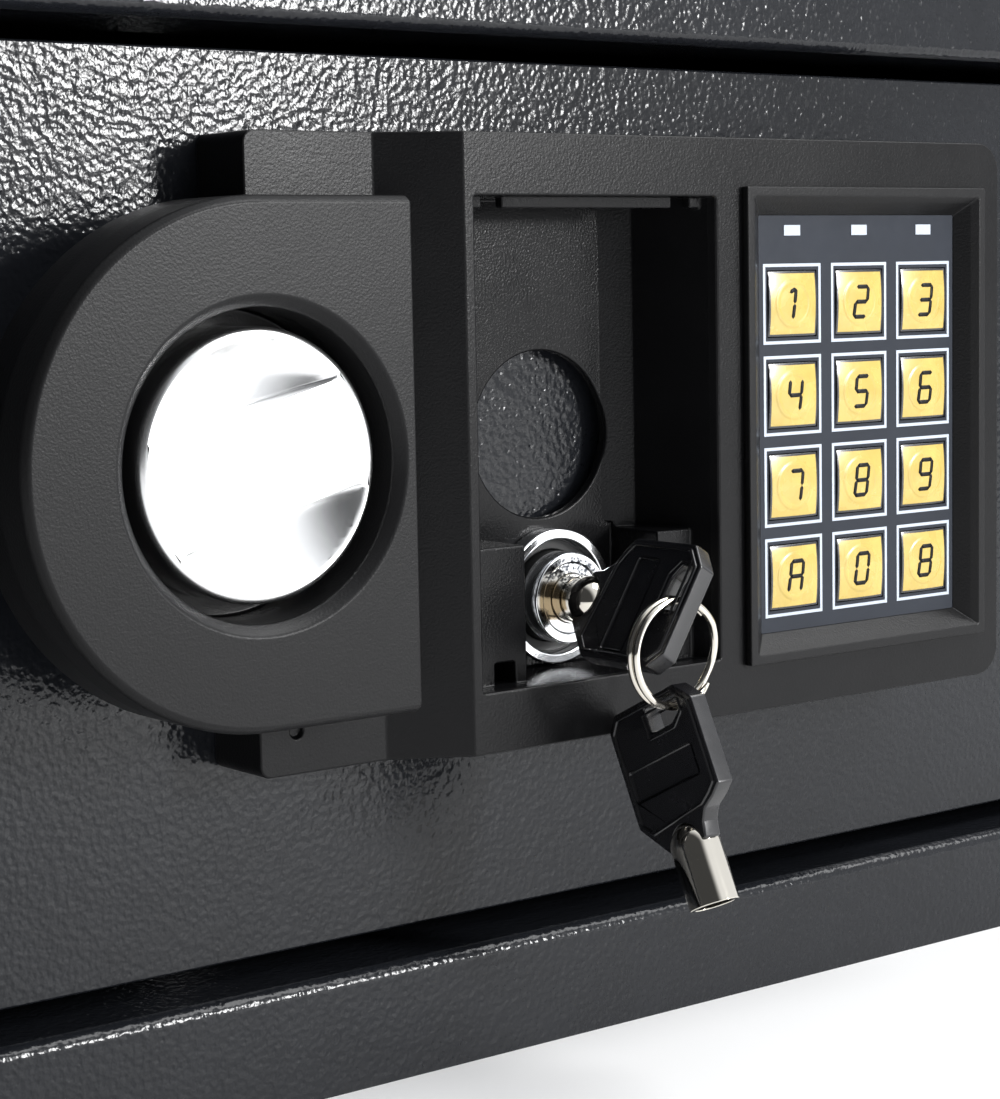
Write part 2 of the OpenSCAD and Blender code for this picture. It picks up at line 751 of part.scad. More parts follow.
// Keypad
module keypad_rim() color("#222326") translate([kx + keypad_x, door_y, panel_z]) {
  foot = rim_strip + 0.6;
  difference() {
    union() {
      block(-rim_w / 2, rim_w / 2, -face_out - rim_rise, -face_out, -rim_h / 2, rim_h / 2);
      block(-rim_w / 2 + rim_strip + rim_seat, rim_w / 2 - rim_strip - rim_seat, -face_out, -pad_out + 1,
        -rim_h / 2 + rim_strip + rim_seat, rim_h / 2 - rim_strip - rim_seat);
    }
    hull() {
      block(-rim_in_w / 2 - 0.5, rim_in_w / 2 + 0.5, -face_out - rim_rise - 0.5, -face_out - rim_rise,
        -rim_in_h / 2 - 0.5, rim_in_h / 2 + 0.5);
      block(-pad_w / 2 + 0.3, pad_w / 2 - 0.3, -pad_out - 0.4, -pad_out, -pad_h / 2 + 0.3, pad_h / 2 - 0.3);
    }
    block(-pad_w / 2 - 0.1, pad_w / 2 + 0.1, -pad_out, -pad_out + foot, -pad_h / 2 - 0.1, pad_h / 2 + 0.1);
  }
}

// The twelve places count along the rows, from the top left
function button_place(n) = [(n % 3 - 1) * pitch_x, top_row - floor(n / 3) * pitch_z];

window_z = pad_h / 2 - 2.9;
window_w = 4.1;
window_h = 1.9;

module keypad_face() color("#2c3340") translate([kx + keypad_x, door_y, panel_z]) {
  difference() {
    block(-pad_w / 2, pad_w / 2, -pad_out, -pad_out + pad_t, -pad_h / 2, pad_h / 2);
    for (n = [0:11]) {
      p = button_place(n);
      block(p[0] - key_w / 2 - key_gap, p[0] + key_w / 2 + key_gap, -pad_out - 1, -pad_out + pad_t + 1,
        p[1] - key_h / 2 - key_gap, p[1] + key_h / 2 + key_gap);
    }
    for (c = [-1:1])
      block(c * pitch_x - window_w / 2, c * pitch_x + window_w / 2, -pad_out - 1, -pad_out + pad_t + 1,
        window_z - window_h / 2, window_z + window_h / 2);
  }
}

module indicator_windows() color("#d8dade") translate([kx + keypad_x, door_y, panel_z]) {
  for (c = [-1:1])
    block(c * pitch_x - window_w / 2, c * pitch_x + window_w / 2, -pad_out - 0.15, -pad_out + pad_t,
      window_z - window_h / 2, window_z + window_h / 2);
}

module button(n) color("#e3b23c") translate([kx + keypad_x, door_y, panel_z]) {
  p = button_place(n);
  crown_r = 45;
  crown = 0.75;
  intersection() {
    block(p[0] - key_w / 2, p[0] + key_w / 2, -pad_out - 2, -pad_out + pad_t + 0.2,
      p[1] - key_h / 2, p[1] + key_h / 2);
    translate([p[0], -pad_out - crown + crown_r, p[1]]) sphere(r = crown_r, $fn = dome_facets);
  }
  block(p[0] - key_w / 2 - 0.8, p[0] + key_w / 2 + 0.8, -pad_out + pad_t + 0.1, -pad_out + pad_t + 0.6,
    p[1] - key_h / 2 - 0.8, p[1] + key_h / 2 + 0.8);
}

board_y = -pad_out + pad_t + 0.6 + key_travel + 0.1;
board_back = board_y + 0.5 + board_t;

module keypad_board() color("#1f5c3a") translate([kx + keypad_x, door_y, panel_z]) {
  difference() {
    block(-rim_w / 2 - 2.7, rim_w / 2 + 2.7, board_y + 0.5, board_back,
      -pad_h / 2 + 1, pad_h / 2);
    for (s = board_places()) bar_y(s[0], s[1], board_y, board_y + 3, board_screw_d / 2);
  }
  for (n = [0:11]) {
    p = button_place(n);
    bar_y(p[0], p[1], board_y, board_y + 0.5, 3);
  }
  for (c = [-1:1])
    block(c * pitch_x - 1.5, c * pitch_x + 1.5, -pad_out + pad_t, board_y + 0.5,
      window_z - 0.8, window_z + 0.8);
}

module keypad_ribbon() color("#b8bcc2") translate([kx + keypad_x, door_y, panel_z]) {
  block(-6, 6, board_back, board_back + 2.5, -39.4, -34.6);
  block(-5, 5, board_back + 2.5, door_t + 9, -37.6, -36.4);
  block(-5, 5, door_t + 7.8, door_t + 9, -37.6, -26);
  block(-6, 6, door_t + 7.8, door_t + 12.2, -26, -21);
}

// Electronics behind the door
module control_board() color("#1f5c3a") translate([kx + keypad_x, door_back, panel_z]) {
  face = control_y + board_t;
  post_x0 = control_w / 2 - 4;
  post_z0 = control_h / 2 - 4;
  difference() {
    block(-control_w / 2, control_w / 2, control_y, face, -control_h / 2, control_h / 2);
    for (x = [-1, 1], z = [-1, 1]) bar_y(x * post_x0, z * post_z0, control_y - 1, face + 1, 1.6);
  }
  for (x = [-1, 1], z = [-1, 1]) bar_y(x * post_x0, z * post_z0, 0, control_y, 3);
  color("#1b1c1f") {
    block(-10, 4, face, face + 1.6, -4, 10);
    bar_y(22, 10, face, face + 6.2, 6);
    bar_y(-24, -12, face, face + 3.6, 4);
  }
}

// Lock
module lock_body() color("#c8ccd0") translate([lock_wx, door_y, lock_z]) {
  difference() {
    bar_y(0, 0, -lock_out, lock_len - lock_out, lock_d / 2);
    bar_y(0, 0, -lock_out - 1, lock_len, plug_d / 2 + running_gap);
  }
}

module lock_trim_ring() color("#dfe2e6") translate([lock_wx, door_y, lock_z]) {
  difference() {
    bar_y(0, 0, -recess_floor - 3.4, -recess_floor, trim_d / 2, fine);
    bar_y(0, 0, -recess_floor - 4, -recess_floor - 0.8, trim_d / 2 - 1.9, fine);
    bar_y(0, 0, -recess_floor - 4, 0, lock_d / 2);
  }
}

module lock_nut() color("#b9bcc0") translate([lock_wx, door_back, lock_z]) {
  difference() {
    rotate([-90, 0, 0]) cylinder(r = 12.4, h = 4, $fn = 6);
    bar_y(0, 0, -1, 5, lock_d / 2);
  }
}

module lock_plug() color("#d5d8dc") translate([lock_wx, door_y, lock_z]) {
  difference() {
    bar_y(0, 0, -lock_out + 0.3, lock_len - lock_out + 0.4, plug_d / 2);
    difference() {
      bar_y(0, 0, -lock_out, -lock_out + key_depth + 0.3, barrel_d / 2 + running_gap);
      bar_y(0, 0, -lock_out - 1, -lock_out + key_depth + 1, barrel_bore / 2 - running_gap);
    }
  }
}

// The cam's edge comes out by the plunger's travel as the key turns from upright to its stop
function cam_edge(a) = cam_r0 + plunger_travel * min(max((a + key_tilt) / key_tilt, 0), 1);

module lock_cam() color("#b9bcc0") translate([lock_wx, 0, lock_z]) {
  steps = 12;
  edge = [for (i = [0:steps]) let (a = -key_tilt - 10 + i * (key_tilt + 24) / steps)
    cam_edge(a) * [sin(a), -cos(a)]];
  front_shape(concat(edge, [[4, 6.2], [-4, 6.2]]), link_y, link_y + cam_t);
  bar_y(0, 0, link_y + cam_t, link_y + cam_t + 1.8, 3);
}

// Key outlines, s along the key from its tip and w across its head
head_high = head_w - head_low;
head_points = [[barrel_len + 0.3, -5], [barrel_len + 6.4, -head_low], [key_len - 2.6, -head_low],
  [key_len, -head_low + 2.6], [key_len, head_high - 3.7], [key_len - 3.4, head_high],
  [barrel_len + 7.8, head_high], [barrel_len + 6.2, head_high - 2.4], [barrel_len + 4.9, 7],
  [barrel_len + 3, 5.6], [barrel_len + 0.3, 5]];
label_box = [key_len - 15.9, key_len - 10.5, -9, 8.6];
label_deep = 0.3;
hole_s1 = key_len - hole_edge;
hole_s0 = hole_s1 - hole_long;
hole_points = [[hole_s1, hole_low], [hole_s1, hole_low + 8.4], [hole_s1 - 3, hole_low + 8.4],
  [hole_s0, hole_low + 5.8], [hole_s0, hole_low]];

// Key lying along +X with its head across Y
module flat_barrel() {
  difference() {
    union() {
      rotate([0, 90, 0]) cylinder(r = barrel_d / 2, h = barrel_len);
      translate([barrel_len, 0, 0]) sphere(r = barrel_d / 2);
    }
    translate([-1, 0, 0]) rotate([0, 90, 0]) cylinder(r = barrel_bore / 2, h = key_depth + 1.6);
  }
}

module flat_head() {
  difference() {
    translate([0, 0, -head_t / 2]) linear_extrude(height = head_t) polygon(head_points);
    translate([0, 0, -head_t]) linear_extrude(height = 2 * head_t) polygon(hole_points);
    rotate([0, 90, 0]) cylinder(r = barrel_d / 2, h = barrel_len);
    translate([barrel_len, 0, 0]) sphere(r = barrel_d / 2);
    for (h = [-1, 1]) translate([0, 0, h * head_t / 2])
      block(label_box[0], label_box[1], label_box[2], label_box[3], -label_deep, label_deep);
  }
}

// Key frame: s goes to -Y, w goes up and right by the tilt
module key_place() {
  translate([lock_wx, out_y(tip_out), lock_z])
    multmatrix([[0, sin(key_tilt), cos(key_tilt), 0], [-1, 0, 0, 0], [0, cos(key_tilt), -sin(key_tilt), 0],
      [0, 0, 0, 1]]) children();
}

module key_barrel() color("#cfc8b8") key_place() flat_barrel();
module key_head() color("#17181a") key_place() flat_head();

// Split ring, two turns with one step between them, on the side away from its ends
ring_start = 40;
ring_sweep = 640;
ring_ramp = [290, 350];
ring_steps = 43;
function ring_side(a) = a < ring_ramp[0] ? 1 : a > ring_ramp[1] ? -1
  : 1 - 2 * (a - ring_ramp[0]) / (ring_ramp[1] - ring_ramp[0]);
function ring_point(i) = let (a = i * ring_sweep / ring_steps)
  [ring_r * cos(ring_start + a), ring_side(a) * ring_pitch / 2, ring_r * sin(ring_start + a)];

// Tube of six sides round points that circle the Y axis
module ring_tube(points, wire, sides) {
  n = len(points);
  verts = [for (p = points, k = [0:sides - 1])
    let (d = [p[0], 0, p[2]] / norm([p[0], 0, p[2]]), a = k * 360 / sides)
      p + wire / 2 * (cos(a) * d + sin(a) * [0, 1, 0])];
  faces = concat([[for (k = [0:sides - 1]) k]],
    [for (i = [0:n - 2], k = [0:sides - 1]) let (a = i * sides + k, b = i * sides + (k + 1) % sides)
      [a, a + sides, b + sides]],
    [for (i = [0:n - 2], k = [0:sides - 1]) let (a = i * sides + k, b = i * sides + (k + 1) % sides)
      [a, b + sides, b]],
    [[for (k = [sides - 1:-1:0]) (n - 1) * sides + k]]);
  polyhedron(points = verts, faces = faces, convexity = 6);
}

// Distance from a point to a straight piece between two others
function to_piece(p, a, b) =
  let (t = min(max((p - a) * (b - a) / ((b - a) * (b - a)), 0), 1)) norm(p - a - t * (b - a));

// Least distance between two places of a path that lie more than some steps apart along it
function least_gap(pts, apart) = min([for (i = [0:len(pts) - 1], j = [0:len(pts) - 2])
  if (j > i + apart || j + 1 < i - apart) to_piece(pts[i], pts[j], pts[j + 1])]);

ring_points = [for (i = [0:ring_steps]) ring_point(i)];
echo(str("split_ring: least gap of the wire to itself ", least_gap(ring_points, 12) - ring_wire, " mm"));

module split_ring() color("#d8d4c8") translate([kx + ring_x, out_y(ring_out), panel_z + ring_z])
  ring_tube(ring_points, ring_wire, 6);

// Spare key: hangs from the ring's lowest point, its head across Y, leaning to the front
spare_swing = 15;
hang_play = 0.28;
hang_s = key_len - hole_edge - ring_wire / 2 - ring_pitch / 2 * sin(spare_lean + spare_swing) - hang_play;
hang_w = 5.8;
module spare_place() {
  c = cos(spare_lean);
  s = sin(spare_lean);
  translate([kx + ring_x, out_y(ring_out), panel_z + ring_z - ring_r])
    multmatrix([[0, 0, 1, 0], [s, -c, 0, 0], [c, s, 0, 0], [0, 0, 0, 1]])
      translate([-hang_s, -hang_w, 0]) children();
}

module spare_key_barrel() color("#cfc8b8") spare_place() flat_barrel();
module spare_key_head() color("#17181a") spare_place() flat_head();

// Knob, its own axis along Y
module turn_knob() color("#eef0f2") translate([kx, door_y, panel_z]) rotate([0, -bar_tilt, 0]) {
  rim_r = knob_r - 1 - knob_rim;
  rise = (rim_r * rim_r - bar_w * bar_w / 4 - scoop_deep * scoop_deep) / (2 * scoop_deep);
  back = -knob_out + knob_t;
  difference() {
    union() {
      bar_y(0, 0, -knob_out + 1, back, knob_r, fine);
      translate([0, -knob_out + 1, 0]) rotate([90, 0, 0])
        cylinder(r1 = knob_r, r2 = knob_r - 1, h = 1, $fn = fine);
    }
    for (s = [-1, 1])
      intersection() {
        translate([0, -knob_out - rise, 0]) sphere(r = sqrt(rise * rise + rim_r * rim_r), $fn = finest);
        block(-knob_r - 2, knob_r + 2, -knob_out - 20, 0, s > 0 ? bar_w / 2 : -knob_r - 2,
          s > 0 ? knob_r + 2 : -bar_w / 2);
      }
    bar_y(0, 0, back - 5, back + 1, spindle_d / 2);
  }
}

module knob_spindle() color("#b9bcc0") translate([kx, door_y, panel_z]) {
  bar_y(0, 0, -knob_out + knob_t - 5, door_t + 8.3, spindle_d / 2);
}

// Point on the crank, u across its arm and v along it
function crank_at(u, v) =
  [u * cos(crank_half) + v * sin(crank_half), v * cos(crank_half) - u * sin(crank_half)];

module bolt_crank() color("#9da1a6") translate([kx, door_back, panel_z]) {
  pin_x = crank_r * sin(crank_half);
  pin_z = crank_r * cos(crank_half);
  difference() {
    union() {
      bar_y(0, 0, crank_gap, crank_gap + crank_t, 12);
      bar_y(pin_x, pin_z, crank_gap, crank_gap + crank_t, 5.5);
      front_shape([crank_at(-8.4, 6), crank_at(8.4, 6), crank_at(5, crank_r), crank_at(-5, crank_r)],
        crank_gap, crank_gap + crank_t);
    }
    bar_y(0, 0, 0, 8, spindle_d / 2);
  }
  bar_y(pin_x, pin_z, crank_gap + crank_t, 12, crank_pin_d / 2);
}

module crank_nut() color("#b9bcc0") translate([kx, door_back, panel_z]) {
  difference() {
    bar_y(0, 0, crank_gap + crank_t, crank_gap + crank_t + 1.6, 8);
    bar_y(0, 0, 0, 10, spindle_d / 2);
  }
}

module bolt_carriage() color("#8d9196") {
  pin_x = kx + crank_r * sin(crank_half);
  slot_r = crank_pin_d / 2 + slot_play;
  tall = bolt_pitch / 2 + 12;
  flange_t = 2;
  notch_w = plunger_d + 3;
  difference() {
    union() {
      block(flange_x, flange_x + carriage_w, carriage_y, carriage_y + carriage_t, mid_z - tall, mid_z + tall);
      block(flange_x, arm_x1, carriage_y, carriage_y + carriage_t, arm_z0, arm_z0 + arm_h);
      block(flange_x, flange_x + flange_t, carriage_y, bolt_y + 9, mid_z - tall, mid_z + tall);
    }
    for (s = [-1, 1])
      slot_x(stud_x, stud_x + bolt_throw, mid_z + s * stud_z, carriage_y - 1, carriage_y + carriage_t + 1,
        stud_d / 2 + 0.2);
    for (z = [panel_z + crank_r * cos(crank_half) - 1, panel_z + crank_r + 1])
      bar_y(pin_x, z, carriage_y - 1, carriage_y + carriage_t + 1, slot_r);
    block(pin_x - slot_r, pin_x + slot_r, carriage_y - 1, carriage_y + carriage_t + 1,
      panel_z + crank_r * cos(crank_half) - 1, panel_z + crank_r + 1);
    block(plunger_wx + bolt_throw - notch_w / 2, plunger_wx + bolt_throw + notch_w / 2,
      carriage_y - 1, carriage_y + carriage_t + 1, arm_z0 - 1, arm_z0 + 7);
  }
}

module live_bolts() color("#d5d8dc") {
  for (s = [-1, 1])
    translate([0, bolt_y, mid_z + s * bolt_pitch / 2]) {
      translate([bolt_x0 + 1, 0, 0]) rotate([0, 90, 0]) cylinder(r = bolt_d / 2, h = bolt_len - 1);
      translate([bolt_x0, 0, 0]) rotate([0, 90, 0]) cylinder(r1 = bolt_d / 2 - 1, r2 = bolt_d / 2, h = 1);
    }
}

// Solenoid that holds the carriage when the bolts are out
module solenoid_frame() color("#8d9196") {
  w = 11;
  z1 = coil_z0 + coil_h;
  difference() {
    union() {
      block(plunger_wx - w, plunger_wx + w, door_back, door_back + 1.5, coil_z0 - 2, z1 + 2);
      for (z = [coil_z0 - 2, z1])
        block(plunger_wx - w, plunger_wx + w, door_back, plunger_y + coil_r, z, z + 2);
    }
    bar_z(plunger_wx, plunger_y, coil_z0 - 3, z1 + 3, plunger_d / 2 + 0.1);
  }
}

module solenoid_coil() color("#a33b2a") {
  difference() {
    bar_z(plunger_wx, plunger_y, coil_z0, coil_z0 + coil_h, coil_r - 1);
    bar_z(plunger_wx, plunger_y, coil_z0 - 1, coil_z0 + coil_h + 1, plunger_d / 2 + 0.1);
  }
}

module solenoid_plunger() color("#c8ccd0") {
  bar_z(plunger_wx, plunger_y, coil_z0 + 3, plunger_top, plunger_d / 2);
}

// Return spring between the coil's frame and the link's collar
spring_z0 = coil_z0 + coil_h + 2 + 0.5;
spring_z1 = collar_z - 0.5;
spring_rings = 8;
spring_steps = spring_turns * spring_rings;
spring_points = [for (i = [0:spring_steps]) let (a = i * 360 / spring_rings)
  [spring_r * cos(a), spring_z0 + (spring_z1 - spring_z0) * i / spring_steps, spring_r * sin(a)]];
echo(str("plunger_spring: least gap of the wire to itself ",
  least_gap(spring_points, spring_rings / 2) - spring_wire, " mm"));
module plunger_spring() color("#b9bcc0") translate([plunger_wx, plunger_y, 0]) {
  rotate([90, 0, 0]) mirror([0, 0, 1]) ring_tube(spring_points, spring_wire, 6);
}

module release_link() color("#9da1a6") {
  y1 = link_y + cam_t + 3.2;
  lip_z = lock_z - cam_r0 - plunger_travel - 0.3;
  difference() {
    bar_z(plunger_wx, plunger_y, collar_z, collar_z + 2, 7.5);
    bar_z(plunger_wx, plunger_y, collar_z - 1, collar_z + 3, plunger_d / 2);
  }
  difference() {
    block(plunger_wx - 5, plunger_wx + 5, plunger_y, y1, collar_z, collar_z + 2);
    bar_z(plunger_wx, plunger_y, collar_z - 1, collar_z + 3, plunger_d / 2);
  }
  block(plunger_wx - 5, plunger_wx + 5, y1 - 1.6, y1, lip_z - 2, collar_z + 2);
  block(plunger_wx - 5, lock_wx + 5, y1 - 1.6, y1, lip_z - 2, lip_z);
  block(lock_wx - 5, lock_wx + 5, link_y, y1, lip_z - 2, lip_z);
}

// Battery box, cells and lid
module battery_box() color("#1b1c1f") {
  difference() {
    block(box_x0, box_x0 + box_w, box_y0 - box_wall, cover_back - cover_t, box_z0, box_z0 + box_h);
    block(box_x0 + box_wall, box_x0 + box_w - box_wall, box_y0, cover_back, box_z0 + box_wall,
      box_z0 + box_h - box_wall);
  }
  shelf_y = cover_back - cover_t - reset_flange - 0.1 - reset_travel - 0.2 - 3;
  block(box_x0 + box_w - box_wall, reset_x + 7, shelf_y - 1.6, shelf_y, reset_z - 7, reset_z + 7);
  bar_y(reset_x, reset_z, shelf_y, shelf_y + 3, 3);
}

cell_y = box_y0 + cell_d / 2 + 0.02;
function cell_z(i) = mid_z + (i - 1.5) * (cell_d + 0.8);
cell_x0 = box_x0 + (box_w - cell_len) / 2;

module battery_cells() color("#3f6fa8") {
  for (i = [0:3]) {
    bar_x(cell_y, cell_z(i), cell_x0, cell_x0 + cell_len - 1, cell_d / 2);
    bar_x(cell_y, cell_z(i), cell_x0 + cell_len - 1, cell_x0 + cell_len, 2.7);
  }
}

module battery_contacts() color("#c8ccd0") {
  for (i = [0:3], side = [0, 1]) {
    x = side ? cell_x0 + cell_len : box_x0 + box_wall;
    far = side ? box_x0 + box_w - box_wall : cell_x0;
    block(side ? far - 0.4 : x, side ? far : x + 0.4, cell_y - 5, cell_y + 5, cell_z(i) - 5, cell_z(i) + 5);
    bar_x(cell_y, cell_z(i), x, far, 2);
  }
}

module battery_lid() color("#303338") {
  play = 0.15;
  block(box_x0 - 2, box_x0 + box_w + 2, cover_back + play, cover_back + play + lid_t - 0.15,
    box_z0 - 3.2, box_z0 + box_h + 3.2);
  for (i = [0:2])
    block(box_x0 + 2 + i * 3, box_x0 + 3.2 + i * 3, cover_back + lid_t, cover_back + lid_t + 0.8,
      mid_z - 12, mid_z + 12);
}

module reset_button() color("#b3261e") {
  bar_y(reset_x, reset_z, cover_back - cover_t - 3, cover_back + 2.5, reset_d / 2);
  bar_y(reset_x, reset_z, cover_back - cover_t - reset_flange - 0.1, cover_back - cover_t - 0.1,
    reset_d / 2 + 1.5);
}

body_wrap();
back_plate();
front_frame();
hinge_bearings();
floor_mat();
door_plate();
hinge_blocks();
hinge_pins();
bolt_guide();
carriage_studs();
inner_cover();
cover_screws();
front_panel();
pull_grip();
panel_screws();
keypad_rim();
keypad_face();
indicator_windows();
keypad_board();
keypad_ribbon();
control_board();
lock_body();
lock_trim_ring();
lock_nut();
solenoid_frame();
solenoid_coil();
battery_box();
battery_cells();
battery_contacts();
turn_knob();
knob_spindle();
bolt_crank();
crank_nut();
bolt_carriage();
live_bolts();
solenoid_plunger();
plunger_spring();
release_link();
lock_plug();
lock_cam();
key_barrel();
key_head();
split_ring();
spare_key_barrel();
spare_key_head();
reset_button();
battery_lid();
button(0);  // button_1
button(1);  // button_2
button(2);  // button_3
button(3);  // button_4
button(4);  // button_5
button(5);  // button_6
button(6);  // button_7
button(7);  // button_8
button(8);  // button_9
button(9);  // button_a
button(10);  // button_0
button(11);  // button_b
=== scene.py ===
"""Finish, small detail, light and camera for a laptop safe with a keypad and a turn knob."""

import json
import math

import bmesh
import bpy
from mathutils import Matrix, Vector

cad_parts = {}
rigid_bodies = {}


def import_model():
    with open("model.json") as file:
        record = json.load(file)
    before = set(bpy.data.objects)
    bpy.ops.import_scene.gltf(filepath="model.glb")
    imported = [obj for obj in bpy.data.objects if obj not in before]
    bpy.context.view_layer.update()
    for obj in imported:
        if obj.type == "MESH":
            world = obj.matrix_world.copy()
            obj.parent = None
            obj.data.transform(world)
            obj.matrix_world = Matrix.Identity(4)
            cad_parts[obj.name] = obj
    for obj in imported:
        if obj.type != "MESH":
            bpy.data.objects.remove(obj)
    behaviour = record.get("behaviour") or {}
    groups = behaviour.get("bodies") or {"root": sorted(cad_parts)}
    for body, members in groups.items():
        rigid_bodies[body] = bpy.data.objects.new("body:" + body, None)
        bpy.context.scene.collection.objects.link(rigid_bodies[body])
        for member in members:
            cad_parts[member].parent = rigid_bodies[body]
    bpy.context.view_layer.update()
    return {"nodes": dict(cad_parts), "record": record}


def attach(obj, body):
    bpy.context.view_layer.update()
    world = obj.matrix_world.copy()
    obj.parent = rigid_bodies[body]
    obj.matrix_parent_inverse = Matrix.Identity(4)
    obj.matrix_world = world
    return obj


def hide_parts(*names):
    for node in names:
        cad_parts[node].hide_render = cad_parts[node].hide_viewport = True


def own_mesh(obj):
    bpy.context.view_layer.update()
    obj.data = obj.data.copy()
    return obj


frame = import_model()

MM = 0.001

# Places taken from the part's source, in millimetres
DOOR_Y = -166.5
LOCK = (8.0, 80.8)
PAD_OUT = 20.5
PAD_CENTRE = (71.0, 109.8)
KEY_W, KEY_H = 12.3, 12.0
PITCH_X, PITCH_Z = 17.4, 16.8
TOP_ROW = 22.2
CROWN, CROWN_R = 0.75, 45.0
TIP_OUT = 5.0
KEY_LEN, BARREL_LEN, HEAD_T = 37.0, 10.4, 3.6
HEAD_LOW, HEAD_HIGH = 11.0, 12.2
KEY_TILT = math.radians(32)
RING_R, RING_WIRE, RING_PITCH = 9.1, 1.6, 2.05
RING_CENTRE = (8.0, -204.75, 73.8)
SPARE_LEAN, SPARE_SWING = math.radians(26), math.radians(15)
HOLE_EDGE, HANG_PLAY, HANG_W = 1.5, 0.28, 5.8
PLUNGER = (-22.0, -153.5)
SPRING_R, SPRING_WIRE, SPRING_TURNS = 5.6, 0.8, 6
SPRING_Z = (94.3, 106.2)
LOCK_SEAT_R, LOCK_SEAT_Y = 10.2, -173.5
LOCK_FACE_R, LOCK_FACE_Y = 7.4, -176.5

# The grip lies in front of GRIP_Y. The recess lies behind RECESS_Y and right of RECESS_X
GRIP_Y = -189.3
RECESS_X, RECESS_Y = -21.0, -187.0
SLOT_FLOOR_Z = 68.7

# Rounding: the bevel's steps and angle, and the distances at which points are one
BEVEL_STEPS, BEVEL_ANGLE = 2, math.radians(27)
CAD_MERGE, EDGE_MERGE, NODES_MERGE = 0.002, 0.0005, 0.001
SAME_PLANE = math.radians(0.3)

# Normals: regions narrower than STRIP times the bevel's width are rounded strips
STRIP = 0.8
FLAT = math.cos(math.radians(0.4))
CREASE = math.cos(math.radians(16))
SOFT = math.cos(math.radians(75))
SHARP_BEND, SOFT_BEND = 32, 60

# Wires: thickness and gap of the ring's turns, its run in degrees, and how wire ends narrow
TURN_WIRE, TURN_GAP = 1.35, 1.5
RING_START, RING_RUN = 40, 640
STEP_START, STEP_RUN = 290, 60
RING_POINTS, SPRING_POINTS = 220, 240
END_SIZE, END_TAPER = 0.45, 0.11
RIDGE_R, HOLE_LINE_R, LINE_STEP = 0.34, 0.26, 0.5

# Printed characters and frames of the keypad
CHAR_W, CHAR_H, STROKE, BAR_GAP, SLANT = 3.1, 5.6, 0.78, 0.03, 0.15
TIP_HALF, PRINT_RISE, PRINT_T = 0.02, 0.035, 0.1
FRAME_SIDE, FRAME_LINE, FRAME_T, FRAME_OUT = 14.9, 0.8, 0.08, 0.02

# Camera, from the straight edges in the photograph
EYE = (-273.9, -523.2, 138.1)
LOOK = (0.60618, 0.78799, -0.10778)
ROLL = math.radians(-1.108)
SENSOR, LENS = 36, 82.64

# World: white all round, dim towards DIM_WAY
DIM_WAY = (-0.9848, -0.1736, 0.0)
DIM_START, DIM_FULL = 0.05, 0.5
DIM_SIDE, WHITE_WALL = 0.06, 1.0


# Materials
class Value:
    """A number that changes over a surface and takes part in Python sums."""

    def __init__(self, finish, socket):
        self.finish, self.socket = finish, socket

    def combine(self, operation, first, second=0.0):
        made = self.finish.node("ShaderNodeMath", {"operation": operation}, {0: first, 1: second})
        return Value(self.finish, made.outputs[0])

    def __add__(self, other):
        return self.combine("ADD", self, other)

    def __sub__(self, other):
        return self.combine("SUBTRACT", self, other)

    def __rsub__(self, other):
        return self.combine("SUBTRACT", other, self)

    def __mul__(self, other):
        return self.combine("MULTIPLY", self, other)

    def __abs__(self):
        return self.combine("ABSOLUTE", self)

    __radd__ = __add__
    __rmul__ = __mul__

    def above(self, edge, soft):
        """0 below the edge and 1 above it, over a soft step."""
        made = self.finish.node(
            "ShaderNodeMapRange",
            {"interpolation_type": "SMOOTHSTEP"},
            {"Value": self, "From Min": edge - soft / 2, "From Max": edge + soft / 2},
        )
        return Value(self.finish, made.outputs["Result"])

    def larger(self, other):
        return self.combine("MAXIMUM", self, other)

    def root(self):
        return self.combine("SQRT", self)


